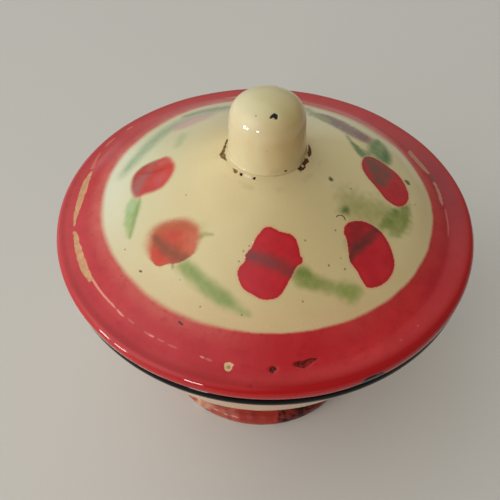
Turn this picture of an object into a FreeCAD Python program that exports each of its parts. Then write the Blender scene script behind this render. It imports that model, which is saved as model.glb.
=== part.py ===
import FreeCAD, Part
import Sketcher
import math
import os

# Small footed dish of enamelled pressed steel with a conical lid.
# Every piece is a turned section about the vertical axis, so each one is a half profile
# in the XZ plane revolved once. Millimetres, +Z up, origin on the table under the centre.

doc = FreeCAD.newDocument("footed_dish")

# ---------------------------------------------------------------- driving dimensions
SIZES = [
    # foot: flared ring, welded by a flat flange under the bowl's floor
    ("foot_height", 28.5), ("foot_flange_bore", 17.0), ("foot_neck_radius", 27.7),
    ("foot_shoulder_bend", 2.0), ("foot_flare_radius", 22.5), ("foot_flare_turn", 75.0),
    ("foot_lip_bend", 3.0), ("bowl_sheet", 1.1),
    # bowl: flat floor, round belly, steep wall, rim rolled outwards
    ("bowl_floor_radius", 26.0), ("bowl_belly_radius", 39.0), ("bowl_belly_turn", 68.0),
    ("bowl_wall_radius", 116.6), ("bowl_wall_turn", 85.31), ("bowl_roll_radius", 2.7),
    ("bowl_roll_end", 245.0),
    # lid: flat seat for the knob, hollow cone, low ridge, flat brim, edge rolled inwards
    ("lid_sheet", 1.0), ("lid_vent_radius", 2.5), ("lid_seat_radius", 14.6), ("lid_seat_height", 118.8),
    ("lid_cone_sweep", 584.0), ("lid_ridge_radius", 67.0), ("lid_ridge_height", 96.1),
    ("lid_brim_start", 68.1), ("lid_brim_height", 95.2), ("lid_outer_radius", 75.0),
    ("lid_lip_bend", 2.5), ("lid_skirt_drop", 1.0), ("lid_roll_radius", 2.1), ("lid_roll_end", 245.0),
    ("lid_ridge_inner_radius", 66.6), ("lid_ridge_inner_height", 95.15), ("lid_brim_inner_start", 67.7),
    # collar: L section, flange flat against the brim's underside, skirt inside the bowl's mouth
    ("collar_sheet", 1.0), ("collar_radius", 67.3), ("collar_bottom", 82.0), ("collar_bend", 0.8),
    ("collar_flange_radius", 71.4),
    # knob: hollow thimble with a flared foot and a domed top
    ("knob_sheet", 1.0), ("knob_foot_radius", 14.2), ("knob_foot_edge", 0.3), ("knob_foot_fillet", 1.25),
    ("knob_shoulder_radius", 12.2), ("knob_shoulder_height", 131.8), ("knob_shoulder_bend", 6.8),
    ("knob_shoulder_turn", 60.0),
]

sheet = doc.addObject("Spreadsheet::Sheet", "Sizes")
for row, (alias, number) in enumerate(SIZES, start=1):
    sheet.set("A%d" % row, alias)
    sheet.set("B%d" % row, repr(number))
    sheet.setAlias("B%d" % row, alias)
doc.recompute()


class Dim:
    """A length or angle: its present value and the sheet expression that drives it."""

    def __init__(self, value, text):
        self.value = float(value)
        self.text = text

    def _other(self, b):
        return b if isinstance(b, Dim) else Dim(b, repr(float(b)))

    def __add__(self, b):
        b = self._other(b)
        return Dim(self.value + b.value, "(%s + %s)" % (self.text, b.text))

    def __sub__(self, b):
        b = self._other(b)
        return Dim(self.value - b.value, "(%s - %s)" % (self.text, b.text))

    def __mul__(self, b):
        b = self._other(b)
        return Dim(self.value * b.value, "(%s * %s)" % (self.text, b.text))

    def __truediv__(self, b):
        b = self._other(b)
        return Dim(self.value / b.value, "(%s / %s)" % (self.text, b.text))


def size(alias):
    return Dim(sheet.get(alias), "Sizes.%s" % alias)


def sine(a):
    return Dim(math.sin(math.radians(a.value)), "sin(%s)" % a.text)


def cosine(a):
    return Dim(math.cos(math.radians(a.value)), "cos(%s)" % a.text)


ZERO = Dim(0.0, "0")


# ---------------------------------------------------------------- sketch and revolve
def turned(node, points, edges):
    """points: [(radius, height)] in order; edges[i] joins point i to i+1 and is None for a
    straight line or (radius, centre_radius, centre_height, way) for an arc, way +1 anticlockwise."""
    body = doc.addObject("PartDesign::Body", node)
    body.Label = node
    plane = [o for o in body.Origin.OriginFeatures if o.Role == "XZ_Plane"][0]
    sk = body.newObject("Sketcher::SketchObject", node + "_section")
    sk.AttachmentSupport = [(plane, "")]
    sk.MapMode = "FlatFace"
    n = len(points)
    ends = []
    for i in range(n):
        a, b = points[i], points[(i + 1) % n]
        va = FreeCAD.Vector(a[0].value, a[1].value, 0)
        vb = FreeCAD.Vector(b[0].value, b[1].value, 0)
        if edges[i] is None:
            g = sk.addGeometry(Part.LineSegment(va, vb), False)
            ends.append((g, 1, 2))
        else:
            rad, cx, cz, way = edges[i]
            c = FreeCAD.Vector(cx, cz, 0)
            ang_a = math.atan2(va.y - cz, va.x - cx)
            ang_b = math.atan2(vb.y - cz, vb.x - cx)
            lo, hi = (ang_a, ang_b) if way > 0 else (ang_b, ang_a)
            while hi <= lo:
                hi += 2 * math.pi
            circ = Part.Circle(c, FreeCAD.Vector(0, 0, 1), rad.value)
            g = sk.addGeometry(Part.ArcOfCircle(circ, lo, hi), False)
            ends.append((g, 1, 2) if way > 0 else (g, 2, 1))
    for i in range(n):
        ga, _, ea = ends[i]
        gb, sb, _ = ends[(i + 1) % n]
        sk.addConstraint(Sketcher.Constraint("Coincident", ga, ea, gb, sb))
    driven = []
    for i in range(n):
        g, s, _ = ends[i]
        for kind, d, axis_id in (("DistanceX", points[i][0], -2), ("DistanceY", points[i][1], -1)):
            if d is ZERO:
                sk.addConstraint(Sketcher.Constraint("PointOnObject", g, s, axis_id))
            else:
                k = sk.addConstraint(Sketcher.Constraint(kind, -1, 1, g, s, d.value))
                name = "%s_%d" % ("radius" if kind == "DistanceX" else "height", i)
                sk.renameConstraint(k, name)
                driven.append((name, d))
    for i in range(n):
        if edges[i] is not None:
            k = sk.addConstraint(Sketcher.Constraint("Radius", ends[i][0], edges[i][0].value))
            name = "bend_%d" % i
            sk.renameConstraint(k, name)
            driven.append((name, edges[i][0]))
    for name, d in driven:
        sk.setExpression("Constraints." + name, d.text)
    doc.recompute()
    for name, d in driven:
        got = sk.getDatum(name).Value
        if abs(got - d.value) > 1e-6:
            raise RuntimeError("%s %s is %r, wanted %r" % (node, name, got, d.value))
    rev = body.newObject("PartDesign::Revolution", node + "_turned")
    rev.Profile = sk
    rev.ReferenceAxis = (sk, ["V_Axis"])
    rev.Angle = 360.0
    doc.recompute()
    return body


parts = []

# ---------------------------------------------------------------- foot ring
top = size("foot_height")
ts = size("bowl_sheet")
neck = size("foot_neck_radius")
bend = size("foot_shoulder_bend")
flare = size("foot_flare_radius")
turn = size("foot_flare_turn")
lip = size("foot_lip_bend")
bore = size("foot_flange_bore")
fc_r = neck + flare                     # centre of the flare's arc
fc_z = top - bend
f4 = (fc_r - flare * cosine(turn), fc_z - flare * sine(turn))
lc = (f4[0] - lip * cosine(turn), f4[1] - lip * sine(turn))
f5 = (lc[0] + lip, lc[1])
f8 = (fc_r - (flare + ts) * cosine(turn), fc_z - (flare + ts) * sine(turn))
pts = [
    (bore, top),
    (neck - bend, top),
    (neck, fc_z),
    f4,
    f5,
    (f5[0], ZERO),
    (f8[0], ZERO),
    f8,
    (neck - ts, fc_z),
    (neck - bend, top - ts),
    (bore, top - ts),
]
edg = [
    None,
    (bend, (neck - bend).value, fc_z.value, -1),
    (flare, fc_r.value, fc_z.value, +1),
    (lip, lc[0].value, lc[1].value, -1),
    None, None, None,
    (flare + ts, fc_r.value, fc_z.value, -1),
    (bend - ts, (neck - bend).value, fc_z.value, +1),
    None, None,
]
parts.append(turned("foot_ring", pts, edg))

# ---------------------------------------------------------------- bowl shell
floor_r = size("bowl_floor_radius")
belly = size("bowl_belly_radius")
wall = size("bowl_wall_radius")
a1 = size("bowl_belly_turn")
a2 = size("bowl_wall_turn")
roll = size("bowl_roll_radius")
ae = size("bowl_roll_end")
bc_z = top + belly                       # belly arc's centre height, over the floor's edge
q3 = (floor_r + belly * sine(a1), bc_z - belly * cosine(a1))
wc = (q3[0] - wall * sine(a1), q3[1] + wall * cosine(a1))
q4 = (wc[0] + wall * sine(a2), wc[1] - wall * cosine(a2))
i4 = (wc[0] + (wall - ts) * sine(a2), wc[1] - (wall - ts) * cosine(a2))
i3 = (floor_r + (belly - ts) * sine(a1), bc_z - (belly - ts) * cosine(a1))
rc = (i4[0] + roll * sine(a2), i4[1] - roll * cosine(a2))
q5 = (rc[0] + (roll - ts) * cosine(ae), rc[1] + (roll - ts) * sine(ae))
q6 = (rc[0] + roll * cosine(ae), rc[1] + roll * sine(ae))
pts = [
    (ZERO, top),
    (floor_r, top),
    q3,
    q4,
    q5,
    q6,
    i4,
    i3,
    (floor_r, top + ts),
    (ZERO, top + ts),
]
edg = [
    None,
    (belly, floor_r.value, bc_z.value, +1),
    (wall, wc[0].value, wc[1].value, +1),
    (roll - ts, rc[0].value, rc[1].value, -1),
    None,
    (roll, rc[0].value, rc[1].value, +1),
    (wall - ts, wc[0].value, wc[1].value, -1),
    (belly - ts, floor_r.value, bc_z.value, -1),
    None, None,
]
parts.append(turned("bowl_shell", pts, edg))

# ---------------------------------------------------------------- lid shell
tl = size("lid_sheet")
vent = size("lid_vent_radius")
seat_r = size("lid_seat_radius")
seat_z = size("lid_seat_height")
sweep = size("lid_cone_sweep")
rid = (size("lid_ridge_radius"), size("lid_ridge_height"))
brim_r = size("lid_brim_start")
brim_z = size("lid_brim_height")
out_r = size("lid_outer_radius")
lbend = size("lid_lip_bend")
drop = size("lid_skirt_drop")
lroll = size("lid_roll_radius")
le = size("lid_roll_end")
lip_c = (out_r - lbend, brim_z - lbend)
rol_c = (out_r - lroll, brim_z - lbend - drop)
s8 = (rol_c[0] + lroll * cosine(le), rol_c[1] + lroll * sine(le))
s9 = (rol_c[0] + (lroll - tl) * cosine(le), rol_c[1] + (lroll - tl) * sine(le))
rin = (size("lid_ridge_inner_radius"), size("lid_ridge_inner_height"))


def arc_centre(p, q, radius, side):
    """Centre of an arc of this radius through p and q, on the left (+1) or right (-1) of p to q."""
    px, pz, qx, qz = p[0].value, p[1].value, q[0].value, q[1].value
    mx, mz = (px + qx) / 2, (pz + qz) / 2
    dx, dz = qx - px, qz - pz
    d = math.hypot(dx, dz)
    off = math.sqrt(radius.value ** 2 - d * d / 4)
    return mx - side * dz / d * off, mz + side * dx / d * off


seat = (seat_r, seat_z)
seat_in = (seat_r - 0.2, seat_z - tl)
cone_c = arc_centre(seat, rid, sweep, +1)
cone_ci = arc_centre(seat_in, rin, sweep + tl, +1)
pts = [
    (vent, seat_z),
    seat,
    rid,
    (brim_r, brim_z),
    (out_r - lbend, brim_z),
    (out_r, lip_c[1]),
    (out_r, rol_c[1]),
    s8,
    s9,
    (out_r - tl, rol_c[1]),
    (out_r - tl, lip_c[1]),
    (out_r - lbend, brim_z - tl),
    (size("lid_brim_inner_start"), brim_z - tl),
    rin,
    seat_in,
    (vent, seat_z - tl),
]
edg = [
    None,
    (sweep, cone_c[0], cone_c[1], +1),
    None,
    None,
    (lbend, lip_c[0].value, lip_c[1].value, -1),
    None,
    (lroll, rol_c[0].value, rol_c[1].value, -1),
    None,
    (lroll - tl, rol_c[0].value, rol_c[1].value, +1),
    None,
    (lbend - tl, lip_c[0].value, lip_c[1].value, +1),
    None,
    None,
    (sweep + tl, cone_ci[0], cone_ci[1], -1),
    None,
    None,
]
parts.append(turned("lid_shell", pts, edg))

# ---------------------------------------------------------------- lid collar
tc = size("collar_sheet")
col_r = size("collar_radius")
col_z = size("collar_bottom")
cb = size("collar_bend")
col_f = size("collar_flange_radius")
under = brim_z - tl                     # brim's underside, where the flange is welded
bend_z = under - tc - cb
pts = [
    (col_r - tc, col_z),
    (col_r, col_z),
    (col_r, bend_z),
    (col_r + cb, under - tc),
    (col_f, under - tc),
    (col_f, under),
    (col_r + cb, under),
    (col_r - tc, bend_z),
]
edg = [
    None,
    None,
    (cb, (col_r + cb).value, bend_z.value, -1),
    None,
    None,
    None,
    (cb + tc, (col_r + cb).value, bend_z.value, +1),
    None,
]
parts.append(turned("lid_collar", pts, edg))

# ---------------------------------------------------------------- lid knob
tk = size("knob_sheet")
kf = size("knob_foot_radius")
ke = size("knob_foot_edge")
kq = size("knob_foot_fillet")
ks = size("knob_shoulder_radius")
kz = size("knob_shoulder_height")
kb = size("knob_shoulder_bend")
kt = size("knob_shoulder_turn")
kc_r = ks - kb                          # centre of the shoulder's arc
n5 = (kc_r + kb * cosine(kt), kz + kb * sine(kt))
cap = n5[0] / cosine(kt)                # radius of the crown, tangent to the shoulder
cap_z = n5[1] - cap * sine(kt)
n6 = (kc_r + (kb - tk) * cosine(kt), kz + (kb - tk) * sine(kt))
pts = [
    (kf - kq - tk, seat_z),
    (kf, seat_z),
    (kf, seat_z + ke),
    (kf - kq, seat_z + ke + kq),
    (ks, kz),
    n5,
    (ZERO, cap_z + cap),
    (ZERO, cap_z + cap - tk),
    n6,
    (ks - tk, kz),
]
edg = [
    None,
    None,
    (kq, kf.value, (seat_z + ke + kq).value, -1),
    None,
    (kb, kc_r.value, kz.value, +1),
    (cap, 0.0, cap_z.value, +1),
    None,
    (cap - tk, 0.0, cap_z.value, -1),
    (kb - tk, kc_r.value, kz.value, -1),
    None,
]
parts.append(turned("lid_knob", pts, edg))

# ---------------------------------------------------------------- checks and export
doc.recompute()
for obj in doc.Objects:
    bad = [s for s in obj.State if s in ("Invalid", "Error")]
    if bad:
        raise RuntimeError("%s: %s" % (obj.Name, bad))
for body in parts:
    shp = body.Shape
    if shp.isNull() or not shp.isValid() or len(shp.Solids) != 1:
        raise RuntimeError("%s: bad shape" % body.Label)

os.makedirs("parts", exist_ok=True)
for body in parts:
    body.Shape.exportStep(os.path.join("parts", body.Label + ".step"))
    bb = body.Shape.BoundBox
    print("%-12s volume %9.1f mm3  r %.2f  z %.2f to %.2f" % (
        body.Label, body.Shape.Volume, bb.XMax, bb.ZMin, bb.ZMax))
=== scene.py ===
import math

import bpy
import numpy as np
from mathutils import Matrix, Vector


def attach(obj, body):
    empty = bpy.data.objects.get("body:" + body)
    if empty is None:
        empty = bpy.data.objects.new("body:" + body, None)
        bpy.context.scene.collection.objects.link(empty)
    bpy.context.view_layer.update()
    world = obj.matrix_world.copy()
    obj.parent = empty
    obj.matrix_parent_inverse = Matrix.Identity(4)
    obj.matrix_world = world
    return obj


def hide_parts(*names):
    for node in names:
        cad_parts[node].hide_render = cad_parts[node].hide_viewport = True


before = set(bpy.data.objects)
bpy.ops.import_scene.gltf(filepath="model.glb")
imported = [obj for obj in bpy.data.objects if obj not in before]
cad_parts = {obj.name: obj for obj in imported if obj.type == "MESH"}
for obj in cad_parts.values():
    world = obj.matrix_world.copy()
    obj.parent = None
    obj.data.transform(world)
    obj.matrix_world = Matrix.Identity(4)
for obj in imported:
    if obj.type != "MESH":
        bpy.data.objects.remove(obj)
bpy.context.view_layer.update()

TAU = 2 * math.pi


# ---------------------------------------------------------------- profiles, in millimetres
def arc(cx, cz, r, a0, a1, n=60):
    t = np.radians(np.linspace(a0, a1, n))
    return np.stack([cx + r * np.cos(t), cz + r * np.sin(t)], 1)


def hollow(p, q, sag, n=120):
    """Points from p to q on a shallow curve that hangs below the chord by sag."""
    p, q = np.array(p, float), np.array(q, float)
    t = np.linspace(0, 1, n)[:, None]
    d = q - p
    up = np.array([-d[1], d[0]]) / np.linalg.norm(d)
    return p + d * t - up * sag * 4 * t * (1 - t)


def path(*parts):
    return np.vstack([np.asarray(p, float).reshape(-1, 2) for p in parts])


STEP = 0.04


def dense(p):
    d = np.linalg.norm(np.diff(p, axis=0), axis=1)
    p = p[np.r_[True, d > 1e-9]]
    s = np.r_[0, np.cumsum(np.linalg.norm(np.diff(p, axis=0), axis=1))]
    t = np.linspace(0, s[-1], int(s[-1] / STEP) + 2)
    return np.stack([np.interp(t, s, p[:, 0]), np.interp(t, s, p[:, 1])], 1)


def soften(p, sigma):
    k = int(4 * sigma / STEP) + 1
    g = np.exp(-0.5 * (np.arange(-k, k + 1) * STEP / sigma) ** 2)
    g /= g.sum()
    q = np.vstack([2 * p[0] - p[k:0:-1], p, 2 * p[-1] - p[-2 : -k - 2 : -1]])
    return np.stack([np.convolve(q[:, i], g, "valid") for i in (0, 1)], 1)


def left(p):
    t = np.gradient(p, axis=0)
    t /= np.linalg.norm(t, axis=1)[:, None]
    return np.stack([-t[:, 1], t[:, 0]], 1)


def half_round(p, q, n=9):
    """A rounded sheet edge from p to q, bulging to the left of the way from q to p."""
    c, d = (p + q) / 2, (p - q) / 2
    out = np.array([-d[1], d[0]])
    if np.dot(out, half_round.ahead) < 0:
        out = -out
    t = np.linspace(0, math.pi, n)[1:-1, None]
    return c + d * np.cos(t) + out * np.sin(t)


def sheet(face, thick, round_start):
    """A closed run round a pressed sheet: its face, a rounded edge, its back, and a rounded edge again if it starts with a hole.
    The metal lies to the right of face. Gives the points and, for each, 0 on the face, 1 on the back and 0.5 on an edge."""
    back = face - left(face) * thick
    half_round.ahead = face[-1] - face[-4]
    end = half_round(face[-1], back[-1])
    run, tag = [face, end, back[::-1]], [np.zeros(len(face)), np.full(len(end), 0.5), np.ones(len(back))]
    if round_start:
        half_round.ahead = face[0] - face[3]
        first = half_round(back[0], face[0])
        run.append(first)
        tag.append(np.full(len(first), 0.5))
    return np.vstack(run), np.concatenate(tag)


def thin_out(p, tag, gap):
    """Fewer points along a run, about gap apart, where gap is a list with one number per point."""
    d = np.linalg.norm(np.diff(p, axis=0), axis=1)
    m = np.r_[0, np.cumsum(d / (0.5 * (gap[1:] + gap[:-1])))]
    at = np.interp(np.linspace(0, m[-1], int(round(m[-1])) + 1), m, np.arange(len(p)))
    i = np.arange(len(p))
    q = np.stack([np.interp(at, i, p[:, 0]), np.interp(at, i, p[:, 1])], 1)
    n = left(p)
    n = np.stack([np.interp(at, i, n[:, 0]), np.interp(at, i, n[:, 1])], 1)
    n /= np.linalg.norm(n, axis=1)[:, None]
    s = np.r_[0, np.cumsum(d)]
    return q, n, np.interp(at, i, tag), np.interp(at, i, s)


# ---------------------------------------------------------------- fields over the surface
def ripple(P, wave, seed, n=12):
    """Soft random waves in space, about -2 to 2, with the given wavelength in millimetres."""
    g = np.random.default_rng(seed)
    k = g.normal(size=(n, 3))
    k *= (TAU / wave * g.uniform(0.6, 1.5, n) / np.linalg.norm(k, axis=1))[:, None]
    ph = g.uniform(0, TAU, n)
    out = np.zeros(P.shape[:-1])
    for i in range(n):
        out += np.sin(P @ k[i] + ph[i])
    return out * math.sqrt(2 / n)


def smooth(x, lo, hi):
    t = np.clip((x - lo) / (hi - lo), 0, 1)
    return t * t * (3 - 2 * t)


def rounded(pts, times=2, closed=True):
    p = np.array(pts, float)
    for _ in range(times):
        q = np.roll(p, -1, 0) if closed else p[1:]
        a = p if closed else p[:-1]
        cut = np.stack([0.75 * a + 0.25 * q, 0.25 * a + 0.75 * q], 1).reshape(-1, p.shape[1])
        p = cut if closed else np.vstack([p[:1], cut, p[-1:]])
    return p


def outline(x, y, pts):
    """Distance in millimetres from a closed outline, negative inside it; 30 where it is far away."""
    p = rounded(pts)
    q = np.roll(p, -1, 0)
    lo, hi = p.min(0) - 9, p.max(0) + 9
    near = (x > lo[0]) & (x < hi[0]) & (y > lo[1]) & (y < hi[1])
    xs, ys = x[near], y[near]
    best = np.full(xs.shape, 1e9)
    inside = np.zeros(xs.shape, bool)
    for (x0, y0), (x1, y1) in zip(p, q):
        ex, ey, wx, wy = x1 - x0, y1 - y0, xs - x0, ys - y0
        t = np.clip((wx * ex + wy * ey) / (ex * ex + ey * ey), 0, 1)
        best = np.minimum(best, (wx - ex * t) ** 2 + (wy - ey * t) ** 2)
        if abs(y1 - y0) > 1e-12:
            inside ^= ((y0 > ys) != (y1 > ys)) & (xs < ex * (ys - y0) / ey + x0)
    out = np.full(x.shape, 30.0)
    out[near] = np.where(inside, -1, 1) * np.sqrt(best)
    return out


def stroke(x, y, pts, widths, mm=False):
    """0 on the middle line of a brush stroke, 1 at its edge, or with mm the distance from its edge, negative inside.
    widths are half widths along it."""
    w = np.interp(np.linspace(0, 1, len(pts)), np.linspace(0, 1, len(widths)), widths)
    p = rounded(np.column_stack([np.array(pts, float), w]), 2, False)
    lo, hi = p.min(0) - 9, p.max(0) + 9
    near = (x > lo[0]) & (x < hi[0]) & (y > lo[1]) & (y < hi[1])
    xs, ys = x[near], y[near]
    best = np.full(xs.shape, 30.0)
    for (x0, y0, w0), (x1, y1, w1) in zip(p[:-1], p[1:]):
        ex, ey, wx, wy = x1 - x0, y1 - y0, xs - x0, ys - y0
        t = np.clip((wx * ex + wy * ey) / (ex * ex + ey * ey), 0, 1)
        d = np.sqrt((wx - ex * t) ** 2 + (wy - ey * t) ** 2)
        half = w0 + (w1 - w0) * t
        best = np.minimum(best, d - half if mm else d / half)
    out = np.full(x.shape, 30.0)
    out[near] = best
    return out


def turn(pts, degrees, grow=1.0):
    a = math.radians(degrees)
    c, s = math.cos(a) * grow, math.sin(a) * grow
    return [(c * x - s * y, s * x + c * y) for x, y in pts]


# ---------------------------------------------------------------- meshes
class Turned:
    """A run of points turned about the vertical axis, as a grid of points that can still be moved."""

    def __init__(self, p, n2, tag, s, columns, poles=False):
        self.poles = poles
        self.columns = columns
        self.a = np.arange(columns) / columns * TAU + math.pi / 2
        self.r0 = np.repeat(p[:, :1], columns, 1)
        self.z0 = np.repeat(p[:, 1:], columns, 1)
        self.A = np.repeat(self.a[None, :], len(p), 0)
        self.nr = n2[:, :1]
        self.nz = n2[:, 1:]
        self.tag = np.repeat(tag[:, None], columns, 1)
        self.s = np.repeat(s[:, None], columns, 1)
        self.length = s[-1]
        self.r, self.z = self.r0.copy(), self.z0.copy()
        self.lean = np.zeros((2,) + self.r.shape)
        self.fields = {}

    def at(self):
        """Points before dents and chips, as an array of x, y, z."""
        return np.stack([self.r0 * np.cos(self.A), self.r0 * np.sin(self.A), self.z0], -1)

    def push(self, mm):
        """Moves each point out along its own normal."""
        self.r += self.nr * mm
        self.z += self.nz * mm

    def build(self, name, material, body, node):
        rows, n = self.r.shape
        x = self.r * np.cos(self.A) + self.lean[0]
        y = self.r * np.sin(self.A) + self.lean[1]
        co = np.stack([x, y, self.z], -1) * 0.001
        index = np.arange(rows * n).reshape(rows, n)
        if self.poles:
            index -= n - 1
            index[0] = 0
            index[-1] = index[-2, -1] + 1
            co = np.vstack([co[0].mean(0)[None], co[1:-1].reshape(-1, 3), co[-1].mean(0)[None]])
        else:
            co = co.reshape(-1, 3)
        v = self.s[:, 0] / self.length * 0.996 + 0.002
        i0 = np.arange(rows - 1 if self.poles else rows)
        i1 = (i0 + 1) % rows
        v1 = np.where(i1 == 0, 0.9995, v[i1])
        j0 = np.arange(n)
        j1 = (j0 + 1) % n
        quads = np.stack([index[i0][:, j0], index[i1][:, j0], index[i1][:, j1], index[i0][:, j1]], -1)
        u0 = np.repeat((j0 / n * 0.996 + 0.002)[None], len(i0), 0)
        u1 = np.repeat(((j0 + 1) / n * 0.996 + 0.002)[None], len(i0), 0)
        va = np.repeat(v[i0][:, None], n, 1)
        vb = np.repeat(v1[:, None], n, 1)
        uv = np.stack([np.stack([u0, va], -1), np.stack([u0, vb], -1), np.stack([u1, vb], -1), np.stack([u1, va], -1)], 2)
        um = (u0[0] + u1[0]) / 2
        loops, starts, totals, uvs, at = [], [], [], [], 0
        for k in range(len(i0)):
            q, w = quads[k], uv[k]
            if self.poles and k == 0:
                q, w = q[:, 1:].copy(), w[:, 1:].copy()
                q = np.column_stack([np.zeros(n, int), q[:, 0], q[:, 1]])
                w = np.stack([np.stack([um, np.full(n, v[0])], -1), w[:, 0], w[:, 1]], 1)
            elif self.poles and k == len(i0) - 1:
                q = np.column_stack([q[:, 0], np.full(n, index[-1, 0]), q[:, 3]])
                w = np.stack([w[:, 0], np.stack([um, np.full(n, v[-1])], -1), w[:, 3]], 1)
            m = q.shape[1]
            loops.append(q.ravel())
            uvs.append(w.reshape(-1, 2))
            starts.append(at + np.arange(n) * m)
            totals.append(np.full(n, m))
            at += n * m
        loops, starts, totals = map(np.concatenate, (loops, starts, totals))
        me = bpy.data.meshes.new(name)
        me.vertices.add(len(co))
        me.vertices.foreach_set("co", co.astype(np.float32).ravel())
        me.loops.add(len(loops))
        me.loops.foreach_set("vertex_index", loops.astype(np.int32))
        me.polygons.add(len(starts))
        me.polygons.foreach_set("loop_start", starts.astype(np.int32))
        me.polygons.foreach_set("loop_total", totals.astype(np.int32))
        me.update(calc_edges=True)
        me.polygons.foreach_set("use_smooth", np.ones(len(starts), bool))
        layer = me.uv_layers.new(name="OFBake")
        layer.data.foreach_set("uv", np.concatenate(uvs).astype(np.float32).ravel())
        for key, f in self.fields.items():
            if f.ndim == 3:
                me.attributes.new(key, "FLOAT_COLOR", "POINT").data.foreach_set("color", f.astype(np.float32).ravel())
                continue
            f = np.broadcast_to(f, (rows, n))
            if self.poles:
                f = np.concatenate([[f[0].mean()], f[1:-1].ravel(), [f[-1].mean()]])
            me.attributes.new(key, "FLOAT", "POINT").data.foreach_set("value", f.astype(np.float32).ravel())
        me.validate()
        me.materials.append(material)
        ob = bpy.data.objects.new(name, me)
        bpy.context.scene.collection.objects.link(ob)
        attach(ob, body)
        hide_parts(node)
        return ob


# ---------------------------------------------------------------- shader nodes
def rgb(r, g, b):
    """A colour on the 0 to 255 screen scale, as the linear colour that a shader takes."""
    f = [c / 255 for c in (r, g, b)]
    return tuple(c / 12.92 if c <= 0.04045 else ((c + 0.055) / 1.055) ** 2.4 for c in f) + (1.0,)


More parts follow.
